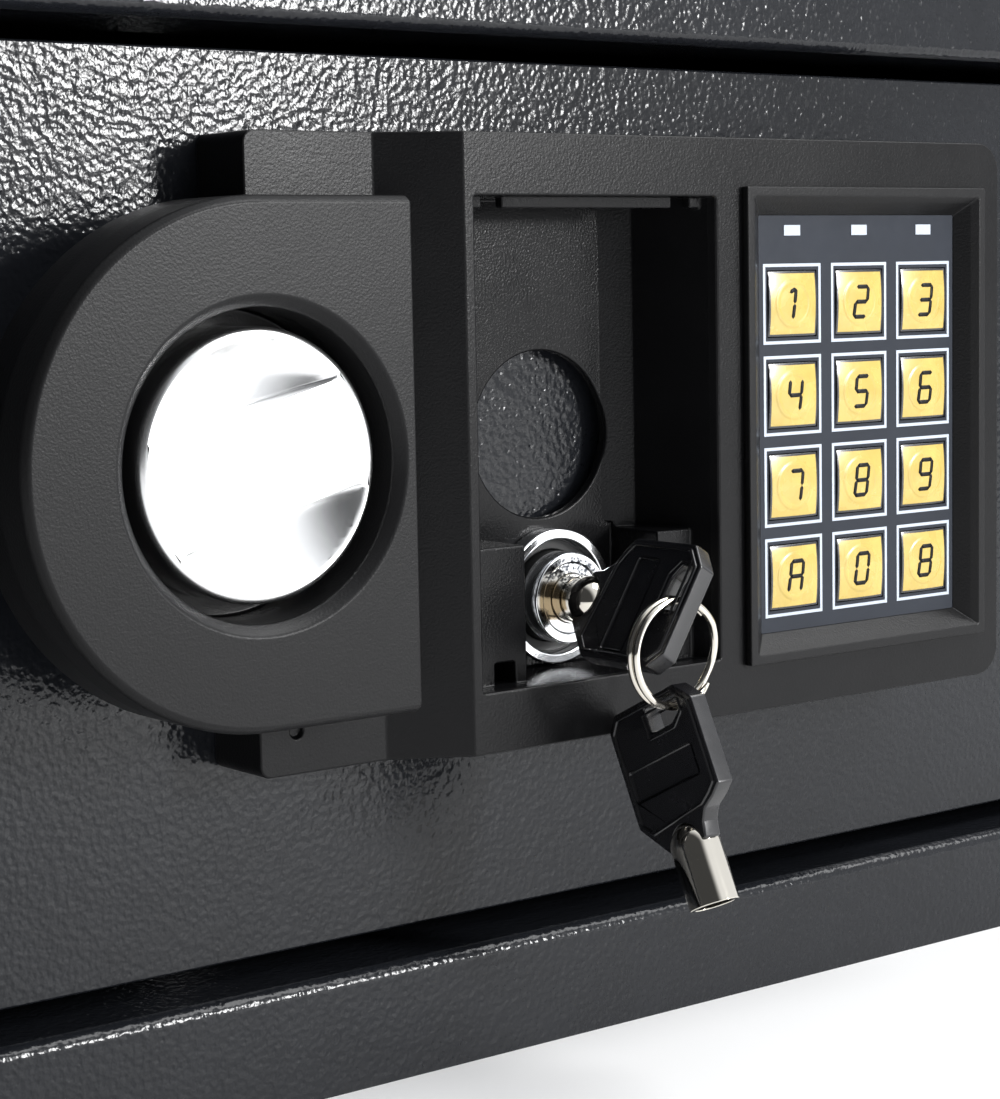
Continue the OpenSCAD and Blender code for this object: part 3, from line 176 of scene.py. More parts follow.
class Finish:
    """A material, with the texture nodes that feed its shader."""

    def __init__(self, name, colour, roughness, metallic=0.0, **fixed):
        self.material = bpy.data.materials.new(name)
        self.material.use_nodes = True
        self.tree = self.material.node_tree
        self.shader = self.tree.nodes["Principled BSDF"]
        self.colour = colour
        self.set("Base Color", (*colour, 1.0))
        self.set("Roughness", roughness)
        self.set("Metallic", metallic)
        for socket, value in fixed.items():
            self.set(socket.replace("_", " "), value)
        self.material.diffuse_color = (*colour, 1.0)

    def set(self, socket, value):
        if isinstance(value, Value):
            self.tree.links.new(value.socket, self.shader.inputs[socket])
        elif isinstance(value, bpy.types.NodeSocket):
            self.tree.links.new(value, self.shader.inputs[socket])
        else:
            self.shader.inputs[socket].default_value = value

    def node(self, kind, settings=None, inputs=None):
        made = self.tree.nodes.new(kind)
        for key, value in (settings or {}).items():
            setattr(made, key, value)
        for key, value in (inputs or {}).items():
            if isinstance(value, Value):
                value = value.socket
            if isinstance(value, bpy.types.NodeSocket):
                self.tree.links.new(value, made.inputs[key])
            else:
                made.inputs[key].default_value = value
        return made

    def place(self, stretch=(1, 1, 1), source="Object"):
        """The surface point on the piece, or on its UV map, scaled along each axis."""
        coordinates = self.node("ShaderNodeTexCoord")
        inputs = {"Vector": coordinates.outputs[source], "Scale": stretch}
        return self.node("ShaderNodeMapping", None, inputs).outputs["Vector"]

    def noise(self, size, detail=2.0, stretch=(1, 1, 1), roughness=0.5):
        """Cloudy noise whose blots are about size millimetres across."""
        inputs = {
            "Vector": self.place(stretch),
            "Scale": 1 / (size * MM),
            "Detail": detail,
            "Roughness": roughness,
        }
        return Value(self, self.node("ShaderNodeTexNoise", None, inputs).outputs[0])

    def cells(self, size, feature):
        """A cell pattern whose cells are size millimetres across."""
        made = self.node(
            "ShaderNodeTexVoronoi",
            {"feature": feature},
            {"Vector": self.place(), "Scale": 1 / (size * MM)},
        )
        return Value(self, made.outputs["Distance"])

    def axis(self, name, source="Object"):
        """One coordinate of the surface point."""
        split = self.node("ShaderNodeSeparateXYZ", None, {"Vector": self.place(source=source)})
        return Value(self, split.outputs[name])

    def mix(self, mask, low, high):
        """One colour where the mask is 0 and another where it is 1."""
        made = self.node("ShaderNodeMix", {"data_type": "RGBA"})
        self.tree.links.new(mask.socket, made.inputs[0])
        for socket, colour in ((made.inputs[6], low), (made.inputs[7], high)):
            if isinstance(colour, bpy.types.NodeSocket):
                self.tree.links.new(colour, socket)
            else:
                socket.default_value = (*colour, 1.0)
        return made.outputs[2]

    def tint(self, mask, change):
        """Varies the base colour between two strengths of itself."""
        low = tuple(c * (1 - change) for c in self.colour)
        high = tuple(min(1, c * (1 + change)) for c in self.colour)
        self.set("Base Color", self.mix(mask, low, high))

    def bump(self, height, depth):
        """Relief whose full height is depth millimetres."""
        made = self.node(
            "ShaderNodeBump",
            None,
            {"Height": height, "Distance": depth * MM, "Strength": 1.0},
        )
        self.set("Normal", made.outputs["Normal"])


def powder_coat():
    """Charcoal coat with a hammered skin: rounded grains of about a millimetre, over finer ripples."""
    coat = Finish("charcoal_powder_coat", (0.010, 0.011, 0.0135), 0.18, Specular_IOR_Level=0.3)
    grains = coat.cells(1.15, "SMOOTH_F1")
    ripples = coat.noise(0.8, 1.0, roughness=0.4)
    coat.bump(grains * 0.62 + ripples * 0.38, 0.18)
    coat.tint(coat.noise(9, 3.0), 0.2)
    coat.set("Roughness", 0.12 + coat.noise(3.2, 3.0) * 0.1)
    return coat.material


def grained_moulding():
    """Black moulded plastic with a fine grain and smoother inside the recess, the grip's front face painted
    paler as painted light.
    """
    plastic = Finish("grained_black_plastic", (0.006, 0.006, 0.0065), 0.34, Specular_IOR_Level=0.16)
    grain = plastic.noise(0.42, 2.0)
    plastic.bump(grain, 0.045)
    marks = plastic.noise(16, 5.0, roughness=0.62)
    depth = plastic.axis("Y")
    # Painted light: marks the grip's front face, which is painted paler as if it caught more light
    grip_face_painted_light = 1.0 - depth.above(GRIP_Y * MM, 0.2 * MM)
    black = plastic.mix(marks, (0.004, 0.004, 0.0045), (0.008, 0.008, 0.0085))
    # Painted light: the grip's front face is mixed towards a paler grey
    plastic.set("Base Color", plastic.mix(grip_face_painted_light * 0.6, black, (0.013, 0.013, 0.0135)))
    inside = depth.above(RECESS_Y * MM, 0.6 * MM) * plastic.axis("X").above(RECESS_X * MM, 0.6 * MM)
    floor = 1.0 - plastic.axis("Z").above(SLOT_FLOOR_Z * MM, 0.2 * MM)
    smooth = inside * (floor * 0.6 + 0.4)
    plastic.set("Roughness", 0.24 + marks * 0.1 + grip_face_painted_light * 0.06 - smooth * 0.19)
    return plastic.material


def smooth_moulding(name, colour, roughness=0.22):
    """Glossy moulded plastic with a slow swell in its surface and light wear."""
    plastic = Finish(name, colour, roughness, Coat_Weight=0.3, Coat_Roughness=0.12)
    plastic.bump(plastic.noise(3.5, 2.0) * 0.8 + plastic.noise(0.5) * 0.12, 0.05)
    wear = plastic.noise(5, 6.0, roughness=0.7)
    plastic.set("Roughness", roughness - 0.07 + wear * 0.2)
    plastic.tint(wear, 0.25)
    return plastic.material


def plated(name, colour, roughness, cloud, brush=None):
    """Plated metal with handling marks, and brushed lines where brush stretches them."""
    metal = Finish(name, colour, roughness, 1.0)
    marks = metal.noise(4.5, 4.0, roughness=0.65)
    metal.set("Roughness", roughness + (marks - 0.5) * cloud)
    metal.tint(metal.noise(7, 3.0), 0.08)
    if brush:
        metal.bump(metal.noise(1.2, 3.0, stretch=brush), 0.012)
    else:
        metal.bump(metal.noise(2.5, 2.0), 0.01)
    return metal.material


def lock_chrome():
    """Chrome with the seat inside the trim ring painted black as painted shade of the gap round the lock, and
    a cloudy face with darker speckles over its upper part and a warm band across it.
    """
    metal = Finish("lock_chrome", (0.86, 0.87, 0.89), 0.1, 1.0)
    across = metal.axis("X") - LOCK[0] * MM
    along = metal.axis("Z") - LOCK[1] * MM
    radius = (across * across + along * along).root()
    depth = metal.axis("Y")
    # Painted shade: the seat inside the trim ring, painted black and not metal, for the dark gap round the
    # lock
    painted_shade_seat = (1.0 - radius.above(LOCK_SEAT_R * MM, 0.1 * MM)) * depth.above(LOCK_SEAT_Y * MM, 0.2 * MM)
    face = (1.0 - radius.above(LOCK_FACE_R * MM, 0.5 * MM)) * (1.0 - depth.above(LOCK_FACE_Y * MM, 0.2 * MM))
    # Darker speckles over the upper part of the lock's face
    cloudy = face * along.above(3.2 * MM, 1.4 * MM)
    upper_speckled = metal.mix(cloudy * metal.noise(0.55, 2.0).above(0.5, 0.3), metal.colour, (0.04, 0.045, 0.055))
    band = face * (1.0 - abs(along + 0.2 * MM).above(3.4 * MM, 1.2 * MM))
    brassy = metal.mix(band, upper_speckled, (0.42, 0.34, 0.23))
    # Painted shade: black on the seat inside the trim ring
    metal.set("Base Color", metal.mix(painted_shade_seat, brassy, (0.004, 0.004, 0.004)))
    metal.set("Metallic", 1.0 - painted_shade_seat)
    metal.set("Roughness", 0.09 + metal.noise(3, 4.0, roughness=0.65) * 0.05 + painted_shade_seat * 0.4)
    metal.bump(metal.noise(0.5, 2.0), 0.012)
    return metal.material


def printed_film():
    """Blue-grey printed polyester film with a very fine matt grain."""
    film = Finish("printed_keypad_film", (0.02, 0.024, 0.033), 0.3, Specular_IOR_Level=0.18)
    film.bump(film.noise(0.3, 2.0), 0.01)
    film.tint(film.noise(11, 3.0), 0.2)
    film.set("Roughness", 0.28 + film.noise(2.0, 3.0) * 0.14)
    return film.material


def key_cap():
    """Yellow dome with a printed edge line and a faint pressed circle, drawn on the cap's own UV map."""
    cap = Finish("yellow_key_cap", (0.72, 0.44, 0.07), 0.26, Coat_Weight=0.4, Coat_Roughness=0.15)
    across = abs(cap.axis("X", "UV") - 0.5)
    along = abs(cap.axis("Y", "UV") - 0.5)
    edge = across.larger(along)
    line = edge.above(0.462, 0.01)
    radius = (across * across + along * along).root()
    ring = radius.above(0.30, 0.05) - radius.above(0.37, 0.05)
    cloud = cap.noise(4, 3.0)
    gold = cap.mix(cloud, (0.44, 0.31, 0.055), (0.64, 0.47, 0.11))
    cap.set("Base Color", cap.mix(line, gold, (0.01, 0.01, 0.012)))
    cap.set("Roughness", 0.2 + cloud * 0.14)
    cap.bump(ring * 0.9 + cap.noise(0.6) * 0.05, 0.09)
    return cap.material


def green_board():
    """Circuit board whose tracks stand a little proud under the green lacquer."""
    board = Finish("solder_mask", (0.02, 0.12, 0.055), 0.35)
    between = board.cells(2.6, "DISTANCE_TO_EDGE").above(0.06, 0.04)
    board.set("Base Color", board.mix(between, (0.035, 0.2, 0.09), (0.016, 0.1, 0.045)))
    board.bump(between * -1.0, 0.03)
    return board.material


def wound_tape():
    """Red tape wound round the solenoid's coil."""
    tape = Finish("coil_tape", (0.3, 0.045, 0.03), 0.45)
    turns = tape.noise(0.6, 1.0, stretch=(0.1, 0.1, 1.0))
    tape.bump(turns, 0.08)
    tape.tint(turns, 0.3)
    return tape.material


def needle_felt():
    """Dark grey felt of the floor mat."""
    felt = Finish("needle_felt", (0.045, 0.047, 0.052), 0.95, Sheen_Weight=0.35, Sheen_Roughness=0.5)
    fibres = felt.noise(0.8, 5.0, stretch=(1.0, 0.35, 1.0), roughness=0.75)
    felt.bump(fibres, 0.6)
    felt.tint(fibres, 0.55)
    felt.set("Roughness", 0.88 + fibres * 0.1)
    return felt.material


def ribbon_cable():
    """Flat cable whose wires show as fine ribs."""
    ribbon = Finish("ribbon_cable", (0.42, 0.43, 0.45), 0.5)
    wires = ribbon.noise(0.5, 0.0, stretch=(1.0, 0.02, 0.02))
    ribbon.bump(wires, 0.12)
    ribbon.tint(wires, 0.2)
    return ribbon.material


def frosted_window():
    """Pale grey-white plastic of the indicator windows and the printed frames."""
    window = Finish("frosted_window", (0.5, 0.55, 0.63), 0.42, Specular_IOR_Level=0.3)
    window.tint(window.noise(1.4, 3.0), 0.05)
    window.bump(window.noise(0.25), 0.008)
    return window.material


MATERIALS = {
    "painted_steel": powder_coat(),
    "grained_plastic": grained_moulding(),
    "key_plastic": smooth_moulding("glossy_key_plastic", (0.008, 0.008, 0.0095)),
    "chrome": plated("knob_chrome", (0.95, 0.955, 0.96), 0.26, 0.06),
    "nickel": plated("nickel_plate", (0.78, 0.74, 0.66), 0.07, 0.06),
    "zinc_steel": plated("zinc_plate", (0.55, 0.57, 0.6), 0.34, 0.2, (0.15, 1.0, 1.0)),
    "lock_chrome": lock_chrome(),
    "film": printed_film(),
    "button_yellow": key_cap(),
    "window_white": frosted_window(),
    "board_green": green_board(),
    "ribbon_grey": ribbon_cable(),
    "coil_red": wound_tape(),
    "cell_wrap": smooth_moulding("cell_sleeve", (0.05, 0.14, 0.32), 0.3),
    "reset_red": smooth_moulding("reset_rubber", (0.42, 0.025, 0.02), 0.5),
    "carpet": needle_felt(),
}
SLOT_OF = {s["node"]: s["material_slot"] for s in frame["record"]["subparts"]}
BODY_OF = {n: body for body, names in frame["record"]["behaviour"]["bodies"].items() for n in names}

for name, cad_node in frame["nodes"].items():
    cad_node.data.materials.clear()
    cad_node.data.materials.append(MATERIALS[SLOT_OF[name]])


# Making of pieces
def add_piece(name, mesh, slot, body, smooth_angle):
    """Puts a finished mesh in the scene, in its material, on its body.

    Bends past the angle stay sharp. An angle of 0 marks none.
    """
    mesh.materials.clear()
    mesh.materials.append(MATERIALS[slot])
    for face in mesh.polygons:
        face.use_smooth = True
    if smooth_angle:
        mesh.set_sharp_from_angle(angle=math.radians(smooth_angle))
    piece = bpy.data.objects.new(name, mesh)
    bpy.context.scene.collection.objects.link(piece)
    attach(piece, body)
    return piece


def mesh_of(bm, name):
    """A new mesh with the faces of bm, which is freed."""
    mesh = bpy.data.meshes.new(name)
    bm.to_mesh(mesh)
    bm.free()
    return mesh


def baked(carrier):
    """The carrier's mesh with its modifiers applied. The carrier is removed."""
    bpy.context.view_layer.update()
    graph = bpy.context.evaluated_depsgraph_get()
    mesh = bpy.data.meshes.new_from_object(carrier.evaluated_get(graph))
    bpy.data.objects.remove(carrier)
    return mesh


def region_areas(bm):
    """For each face, the area and the mean width of the flat region that it lies in."""
    found = {}
    for start in bm.faces:
        if start in found:
            continue
        region, waiting = {start}, [start]
        outline = 0.0
        while waiting:
            face = waiting.pop()
            for edge in face.edges:
                others = [f for f in edge.link_faces if f is not face]
                if others and others[0].normal.dot(start.normal) > FLAT:
                    if others[0] not in region:
                        region.add(others[0])
                        waiting.append(others[0])
                else:
                    outline += edge.calc_length()
        area = sum(f.calc_area() for f in region)
        for face in region:
            found[face] = (area, 2 * area / max(outline, 1e-9))
    return found


def settle_normals(mesh, strip):
    """Flat faces stay flat to their edges, and rounded strips narrower than strip blend between them."""
    bm = bmesh.new()
    bm.from_mesh(mesh)
    bm.faces.ensure_lookup_table()
    regions = region_areas(bm)
    normals = []
    for face in bm.faces:
        narrow = regions[face][1] < strip
        for loop in face.loops:
            total = Vector((0, 0, 0))
            for other in loop.vert.link_faces:
                area, breadth = regions[other]
                near = SOFT if narrow or breadth < strip else CREASE
                if other.normal.dot(face.normal) > near:
                    total += other.normal * area
            normals.append(total.normalized() if total.length > 0 else face.normal.copy())
    bm.free()
    mesh.normals_split_custom_set(normals)


def rounded_copy(node, width):
    """A copy of a CAD node with its sharp edges rounded, which stands for the node.

    Width 0 leaves the edges as they are, where the node's own folds are round.
    """
    bm = bmesh.new()
    bm.from_mesh(frame["nodes"][node].data)
    bmesh.ops.remove_doubles(bm, verts=bm.verts, dist=CAD_MERGE * MM)
    for edge in bm.edges:
        edge.smooth = True
    bmesh.ops.join_triangles(
        bm, faces=bm.faces, angle_face_threshold=SAME_PLANE, angle_shape_threshold=math.pi
    )
    carrier = bpy.data.objects.new(node + "_carrier", mesh_of(bm, node + "_rounded"))
    bpy.context.scene.collection.objects.link(carrier)
    for face in carrier.data.polygons:
        face.use_smooth = True
    if width:
        bevel = carrier.modifiers.new("edges", "BEVEL")
        bevel.width = width * MM
        bevel.segments = BEVEL_STEPS
        bevel.limit_method = "ANGLE"
        bevel.angle_limit = BEVEL_ANGLE
        bevel.use_clamp_overlap = False
        bevel.loop_slide = False
        bevel.miter_outer = "MITER_ARC"
    bm = bmesh.new()
    bm.from_mesh(baked(carrier))
    bmesh.ops.remove_doubles(bm, verts=bm.verts, dist=EDGE_MERGE * MM)
    piece = add_piece(node + "_rounded", mesh_of(bm, node + "_edges"), SLOT_OF[node], BODY_OF[node], 0)
    settle_normals(piece.data, STRIP * width * MM)
    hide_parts(node)
    return piece


# Width of each piece's rounded edges, in millimetres
ROUNDED = {
    "front_frame": 0,
    "door_plate": 0.5,
    "back_plate": 0.5,
    "front_panel": 0.4,
    "pull_grip": 0.45,
    "keypad_rim": 0.3,
    "turn_knob": 0.5,
    "lock_trim_ring": 0.4,
    "lock_body": 0.3,
    "lock_plug": 0.2,
    "key_barrel": 0.15,
    "key_head": 0.4,
    "spare_key_barrel": 0.15,
    "spare_key_head": 0.4,
    "inner_cover": 0.4,
    "hinge_blocks": 0.6,
    "live_bolts": 0.5,
    "floor_mat": 0.6,
    "battery_lid": 0.3,
    "reset_button": 0.6,
}
for node_name, edge_width in ROUNDED.items():
    rounded_copy(node_name, edge_width)


# Split ring and spring
def tube_mesh(name, points, radius, sides=14, closed=False):
    """Round wire along points, with tapered ends where it is open."""
    bm = bmesh.new()
    count = len(points)
    rings = []
    side = None
    for i, here in enumerate(points):
        ahead = points[(i + 1) % count] if closed or i + 1 < count else here
        behind = points[i - 1] if closed or i > 0 else here
        along = (ahead - behind).normalized()
        if side is None:
            side = along.orthogonal().normalized()
        side = (side - along * side.dot(along)).normalized()
        other = along.cross(side)
        from_end = count if closed else min(i, count - 1 - i)
        reach = radius * min(1.0, END_SIZE + from_end * END_TAPER)
        rings.append(
            [
                bm.verts.new(here + reach * (math.cos(a) * side + math.sin(a) * other))
                for a in (k * math.tau / sides for k in range(sides))
            ]
        )
    pairs = list(zip(rings, rings[1:])) + ([(rings[-1], rings[0])] if closed else [])
    for low, high in pairs:
        for k in range(sides):
            bm.faces.new((low[k], low[(k + 1) % sides], high[(k + 1) % sides], high[k]))
    if not closed:
        bm.faces.new(rings[0][::-1])
        bm.faces.new(rings[-1])
    bmesh.ops.recalc_face_normals(bm, faces=bm.faces)
    return mesh_of(bm, name)


def ring_path():
    """The split ring's path: nearly two turns, with one step between them."""
    points = []
    for i in range(RING_POINTS + 1):
        turned = RING_RUN * i / RING_POINTS
        share = min(max((turned - STEP_START) / STEP_RUN, 0), 1)
        angle = math.radians(RING_START + turned)
        points.append(
            Vector(
                (
                    RING_CENTRE[0] + RING_R * math.cos(angle),
                    RING_CENTRE[1] + (1 - 2 * share) * TURN_GAP / 2,
                    RING_CENTRE[2] + RING_R * math.sin(angle),
                )
            )
            * MM
        )
    return points


def spring_path():
    """The plunger spring's path, an even coil round the plunger."""
    points = []
    for i in range(SPRING_POINTS + 1):
        share = i / SPRING_POINTS
        angle = math.tau * SPRING_TURNS * share
        across = PLUNGER[0] + SPRING_R * math.cos(angle)
        along = PLUNGER[1] + SPRING_R * math.sin(angle)
        height = SPRING_Z[0] + (SPRING_Z[1] - SPRING_Z[0]) * share
        points.append(Vector((across, along, height)) * MM)
    return points


ring_wire = tube_mesh("split_ring_wire", ring_path(), TURN_WIRE / 2 * MM)
ring = add_piece("split_ring_wire", ring_wire, "nickel", "ring", SOFT_BEND)
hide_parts("split_ring")
spring_wire = tube_mesh("plunger_spring_wire", spring_path(), SPRING_WIRE / 2 * MM, 10)
spring = add_piece("plunger_spring_wire", spring_wire, "nickel", BODY_OF["plunger_spring"], SOFT_BEND)
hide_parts("plunger_spring")
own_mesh(spring)


# Raised lines on the keys' heads
def key_in_lock(s, w, h):
    """A point of the key in the lock: s from its tip, w across its head, h through it."""
    return Vector(
        (
            LOCK[0] + math.sin(KEY_TILT) * w + math.cos(KEY_TILT) * h,
            DOOR_Y - TIP_OUT - s,
            LOCK[1] + math.cos(KEY_TILT) * w - math.sin(KEY_TILT) * h,
        )
    ) * MM


def spare_key(s, w, h):
    """The same point of the key that hangs from the ring."""
    slope = RING_PITCH / 2 * math.sin(SPARE_LEAN + SPARE_SWING)
    s -= KEY_LEN - HOLE_EDGE - RING_WIRE / 2 - slope - HANG_PLAY
    w -= HANG_W
    lean_c, lean_s = math.cos(SPARE_LEAN), math.sin(SPARE_LEAN)
    return Vector(
        (
            RING_CENTRE[0] + h,
            RING_CENTRE[1] + lean_s * s - lean_c * w,
            RING_CENTRE[2] - RING_R + lean_c * s + lean_s * w,
        )
    ) * MM


# Outlines on a key's head, as distances from the key's tip and across the head
HEAD_RIDGE = [
    (BARREL_LEN + 4.6, -7.4),
    (BARREL_LEN + 6.9, -HEAD_LOW + 1.2),
    (KEY_LEN - 3.1, -HEAD_LOW + 1.2),
    (KEY_LEN - 1.1, -HEAD_LOW + 3.2),
    (KEY_LEN - 1.1, HEAD_HIGH - 4.2),
    (KEY_LEN - 3.9, HEAD_HIGH - 1.2),
    (BARREL_LEN + 8.4, HEAD_HIGH - 1.2),
    (BARREL_LEN + 7.2, HEAD_HIGH - 2.9),
    (BARREL_LEN + 5.9, 6.8),
]
HOLE_LOOP = [
    (KEY_LEN - 2.5, -1.1),
    (KEY_LEN - 2.5, 8.9),
    (KEY_LEN - 5.0, 8.9),
    (KEY_LEN - 6.9, 6.2),
    (KEY_LEN - 6.9, -1.1),
]


def along_outline(outline):
    """Points about LINE_STEP millimetres apart, round a closed outline."""
    points = []
    for a, b in zip(outline, outline[1:] + outline[:1]):
        steps = max(2, round(math.dist(a, b) / LINE_STEP))
        points += [(a[0] + (b[0] - a[0]) * i / steps, a[1] + (b[1] - a[1]) * i / steps) for i in range(steps)]
    return points


def joined(meshes, name):
    """Several meshes as one, with their points kept apart."""
    bm = bmesh.new()
    for mesh in meshes:
        bm.from_mesh(mesh)
        bpy.data.meshes.remove(mesh)
    return mesh_of(bm, name)


for name, place, body in (("key_head", key_in_lock, "key"), ("spare_key_head", spare_key, "spare_key")):
    lines = []
    for face in (-1, 1):
        for outline, radius in ((HEAD_RIDGE, RIDGE_R), (HOLE_LOOP, HOLE_LINE_R)):
            path = [place(s, w, face * HEAD_T / 2) for s, w in along_outline(outline)]
            lines.append(tube_mesh("line", path, radius * MM, 8, True))
    add_piece(name + "_raised_lines", joined(lines, name + "_raised_lines"), "key_plastic", body, SOFT_BEND)


# Keypad: the bars that characters are made of, in half heights and whole widths
SEGMENTS = {
    "a": ((0, 2), (1, 2)),
    "b": ((1, 2), (1, 1)),
    "c": ((1, 1), (1, 0)),
    "d": ((0, 0), (1, 0)),
    "e": ((0, 1), (0, 0)),
    "f": ((0, 2), (0, 1)),
    "g": ((0, 1), (1, 1)),
    "h": ((0.0, 1.72), (0.5, 2)),
    "i": ((0.5, 2), (0.5, 1)),
    "j": ((0.5, 1), (0.5, 0)),
}
CHARACTERS = {
    "1": "hij",
    "2": "abged",
    "3": "abgcd",
    "4": "fgbc",
    "5": "afgcd",
    "6": "afgedc",
    "7": "abc",
    "8": "abcdefg",
    "9": "abcdfg",
    "a": "abcefg",
    "0": "abcdef",
    "b": "abcdefg",
}


def key_centre(index):
    """Middle of a key, counted from the upper left, along the rows."""
    return PAD_CENTRE[0] + (index % 3 - 1) * PITCH_X, PAD_CENTRE[1] + TOP_ROW - index // 3 * PITCH_Z


def dome_y(dx, dz):
    """Front of a key's dome beside its centre, in millimetres."""
    return DOOR_Y - PAD_OUT - CROWN + CROWN_R - math.sqrt(CROWN_R**2 - dx * dx - dz * dz)


def stroke(bm, centre, start, end):
    """One bar of a character, lying on the dome, with pointed ends."""
    start = Vector(((start[0] - 0.5) * CHAR_W, (start[1] - 1) * CHAR_H / 2))
    end = Vector(((end[0] - 0.5) * CHAR_W, (end[1] - 1) * CHAR_H / 2))
    along = (end - start).normalized()
    length = (end - start).length
    across = Vector((-along.y, along.x))
    tip = STROKE / 2
    stations = [(BAR_GAP, 0.0), (BAR_GAP + tip, tip)]
    stations += [(BAR_GAP + tip + (length - 2 * BAR_GAP - 2 * tip) * k / 4, tip) for k in (1, 2, 3, 4)]
    stations.append((length - BAR_GAP, 0.0))
    rows = []
    for at, half in stations:
        row = []
        for sign in (-1, 1):
            flat = start + along * at + across * (sign * max(half, TIP_HALF))
            dx, dz = flat.x + SLANT * flat.y, flat.y
            top = dome_y(dx, dz) - PRINT_RISE
            places = [Vector((centre[0] + dx, y, centre[1] + dz)) * MM for y in (top, top + PRINT_T)]
            row.append([bm.verts.new(place) for place in places])
        rows.append(row)
    for low, high in zip(rows, rows[1:]):
        bm.faces.new((low[0][0], low[1][0], high[1][0], high[0][0]))
        bm.faces.new((low[0][1], high[0][1], high[1][1], low[1][1]))
        for side in (0, 1):
            bm.faces.new((low[side][0], high[side][0], high[side][1], low[side][1]))
    for row in (rows[0], rows[-1]):
        bm.faces.new((row[0][0], row[0][1], row[1][1], row[1][0]))


def button_cap(index, button):
    """The key's dome with a UV map across its front, and the character printed on it."""
    node = "button_" + button
    body = BODY_OF[node]
    cx, cz = key_centre(index)
    cap = rounded_copy(node, 0.15)
    mesh = cap.data
    layer = mesh.uv_layers.new(name="front")
    for loop in mesh.loops:
        co = mesh.vertices[loop.vertex_index].co / MM
        layer.data[loop.index].uv = ((co.x - cx) / KEY_W + 0.5, (co.z - cz) / KEY_H + 0.5)
    bm = bmesh.new()
    for segment in CHARACTERS[button]:
        stroke(bm, (cx, cz), *SEGMENTS[segment])
    bmesh.ops.recalc_face_normals(bm, faces=bm.faces)
    add_piece(node + "_character", mesh_of(bm, node + "_character"), "grained_plastic", body, 0)


for index, button in enumerate(CHARACTERS):
    button_cap(index, button)


# Repeated pieces, grown by Geometry Nodes
def tree_input(tree, name, kind, value):
    """Adds a named input with its usual value, and gives the input's identifier."""
    socket = tree.interface.new_socket(name=name, in_out="INPUT", socket_type=kind)
    socket.default_value = value
    return socket.identifier


def link_chain(tree, *steps):
    """Links each pair of sockets."""
    for out_socket, in_socket in steps:
        tree.links.new(out_socket, in_socket)


def frames_tree():
    """Printed frames on a grid, one round each key."""
    tree = bpy.data.node_groups.new("key_frames", "GeometryNodeTree")
    ids = {
        "Columns": tree_input(tree, "Columns", "NodeSocketInt", 3),
        "Rows": tree_input(tree, "Rows", "NodeSocketInt", 4),
        "Pitch X": tree_input(tree, "Pitch X", "NodeSocketFloat", PITCH_X * MM),
        "Pitch Z": tree_input(tree, "Pitch Z", "NodeSocketFloat", PITCH_Z * MM),
        "Side": tree_input(tree, "Side", "NodeSocketFloat", FRAME_SIDE * MM),
        "Line": tree_input(tree, "Line", "NodeSocketFloat", FRAME_LINE * MM),
        "Thickness": tree_input(tree, "Thickness", "NodeSocketFloat", FRAME_T * MM),
        "Material": tree_input(tree, "Material", "NodeSocketMaterial", None),
    }
    tree.interface.new_socket(name="Geometry", in_out="OUTPUT", socket_type="NodeSocketGeometry")
    new = tree.nodes.new
    given, result = new("NodeGroupInput"), new("NodeGroupOutput")

    def maths(operation, first, second):
        made = new("ShaderNodeMath")
        made.operation = operation
        for socket, value in zip(made.inputs, (first, second)):
            if isinstance(value, bpy.types.NodeSocket):
                tree.links.new(value, socket)
            else:
                socket.default_value = value
        return made.outputs[0]

    grid = new("GeometryNodeMeshGrid")
    for size, count, pitch, vertices in (
        ("Size X", "Columns", "Pitch X", "Vertices X"),
        ("Size Y", "Rows", "Pitch Z", "Vertices Y"),
    ):
        gaps = maths("SUBTRACT", given.outputs[count], 1.0)
        tree.links.new(maths("MULTIPLY", gaps, given.outputs[pitch]), grid.inputs[size])
        tree.links.new(given.outputs[count], grid.inputs[vertices])
    path = new("GeometryNodeCurvePrimitiveQuadrilateral")
    bar = new("GeometryNodeCurvePrimitiveQuadrilateral")
    sweep = new("GeometryNodeCurveToMesh")
    spots = new("GeometryNodeInstanceOnPoints")
    real = new("GeometryNodeRealizeInstances")
    paint = new("GeometryNodeSetMaterial")
    inner = maths("SUBTRACT", given.outputs["Side"], given.outputs["Line"])
    link_chain(
        tree,
        (inner, path.inputs["Width"]),
        (inner, path.inputs["Height"]),
        (given.outputs["Line"], bar.inputs["Width"]),
        (given.outputs["Thickness"], bar.inputs["Height"]),
        (path.outputs["Curve"], sweep.inputs["Curve"]),
        (bar.outputs["Curve"], sweep.inputs["Profile Curve"]),
        (grid.outputs["Mesh"], spots.inputs["Points"]),
        (sweep.outputs["Mesh"], spots.inputs["Instance"]),
        (spots.outputs["Instances"], real.inputs["Geometry"]),
        (real.outputs["Geometry"], paint.inputs["Geometry"]),
        (given.outputs["Material"], paint.inputs["Material"]),
        (paint.outputs["Geometry"], result.inputs["Geometry"]),
    )
    return tree, ids


def grown(name, tree, ids, values, slot, body, place):
    """Runs a Geometry Nodes tree with these inputs, and makes its result a piece in its place."""
    carrier = bpy.data.objects.new(name + "_carrier", bpy.data.meshes.new(name + "_carrier"))
    bpy.context.scene.collection.objects.link(carrier)
    modifier = carrier.modifiers.new("nodes", "NODES")
    modifier.node_group = tree
    for key, value in values.items():
        modifier[ids[key]] = value
    modifier[ids["Material"]] = MATERIALS[slot]
    bm = bmesh.new()
    bm.from_mesh(baked(carrier))
    bm.transform(place)
    bmesh.ops.remove_doubles(bm, verts=bm.verts, dist=NODES_MERGE * MM)
    bmesh.ops.recalc_face_normals(bm, faces=bm.faces)
    add_piece(name, mesh_of(bm, name), slot, body, SHARP_BEND)


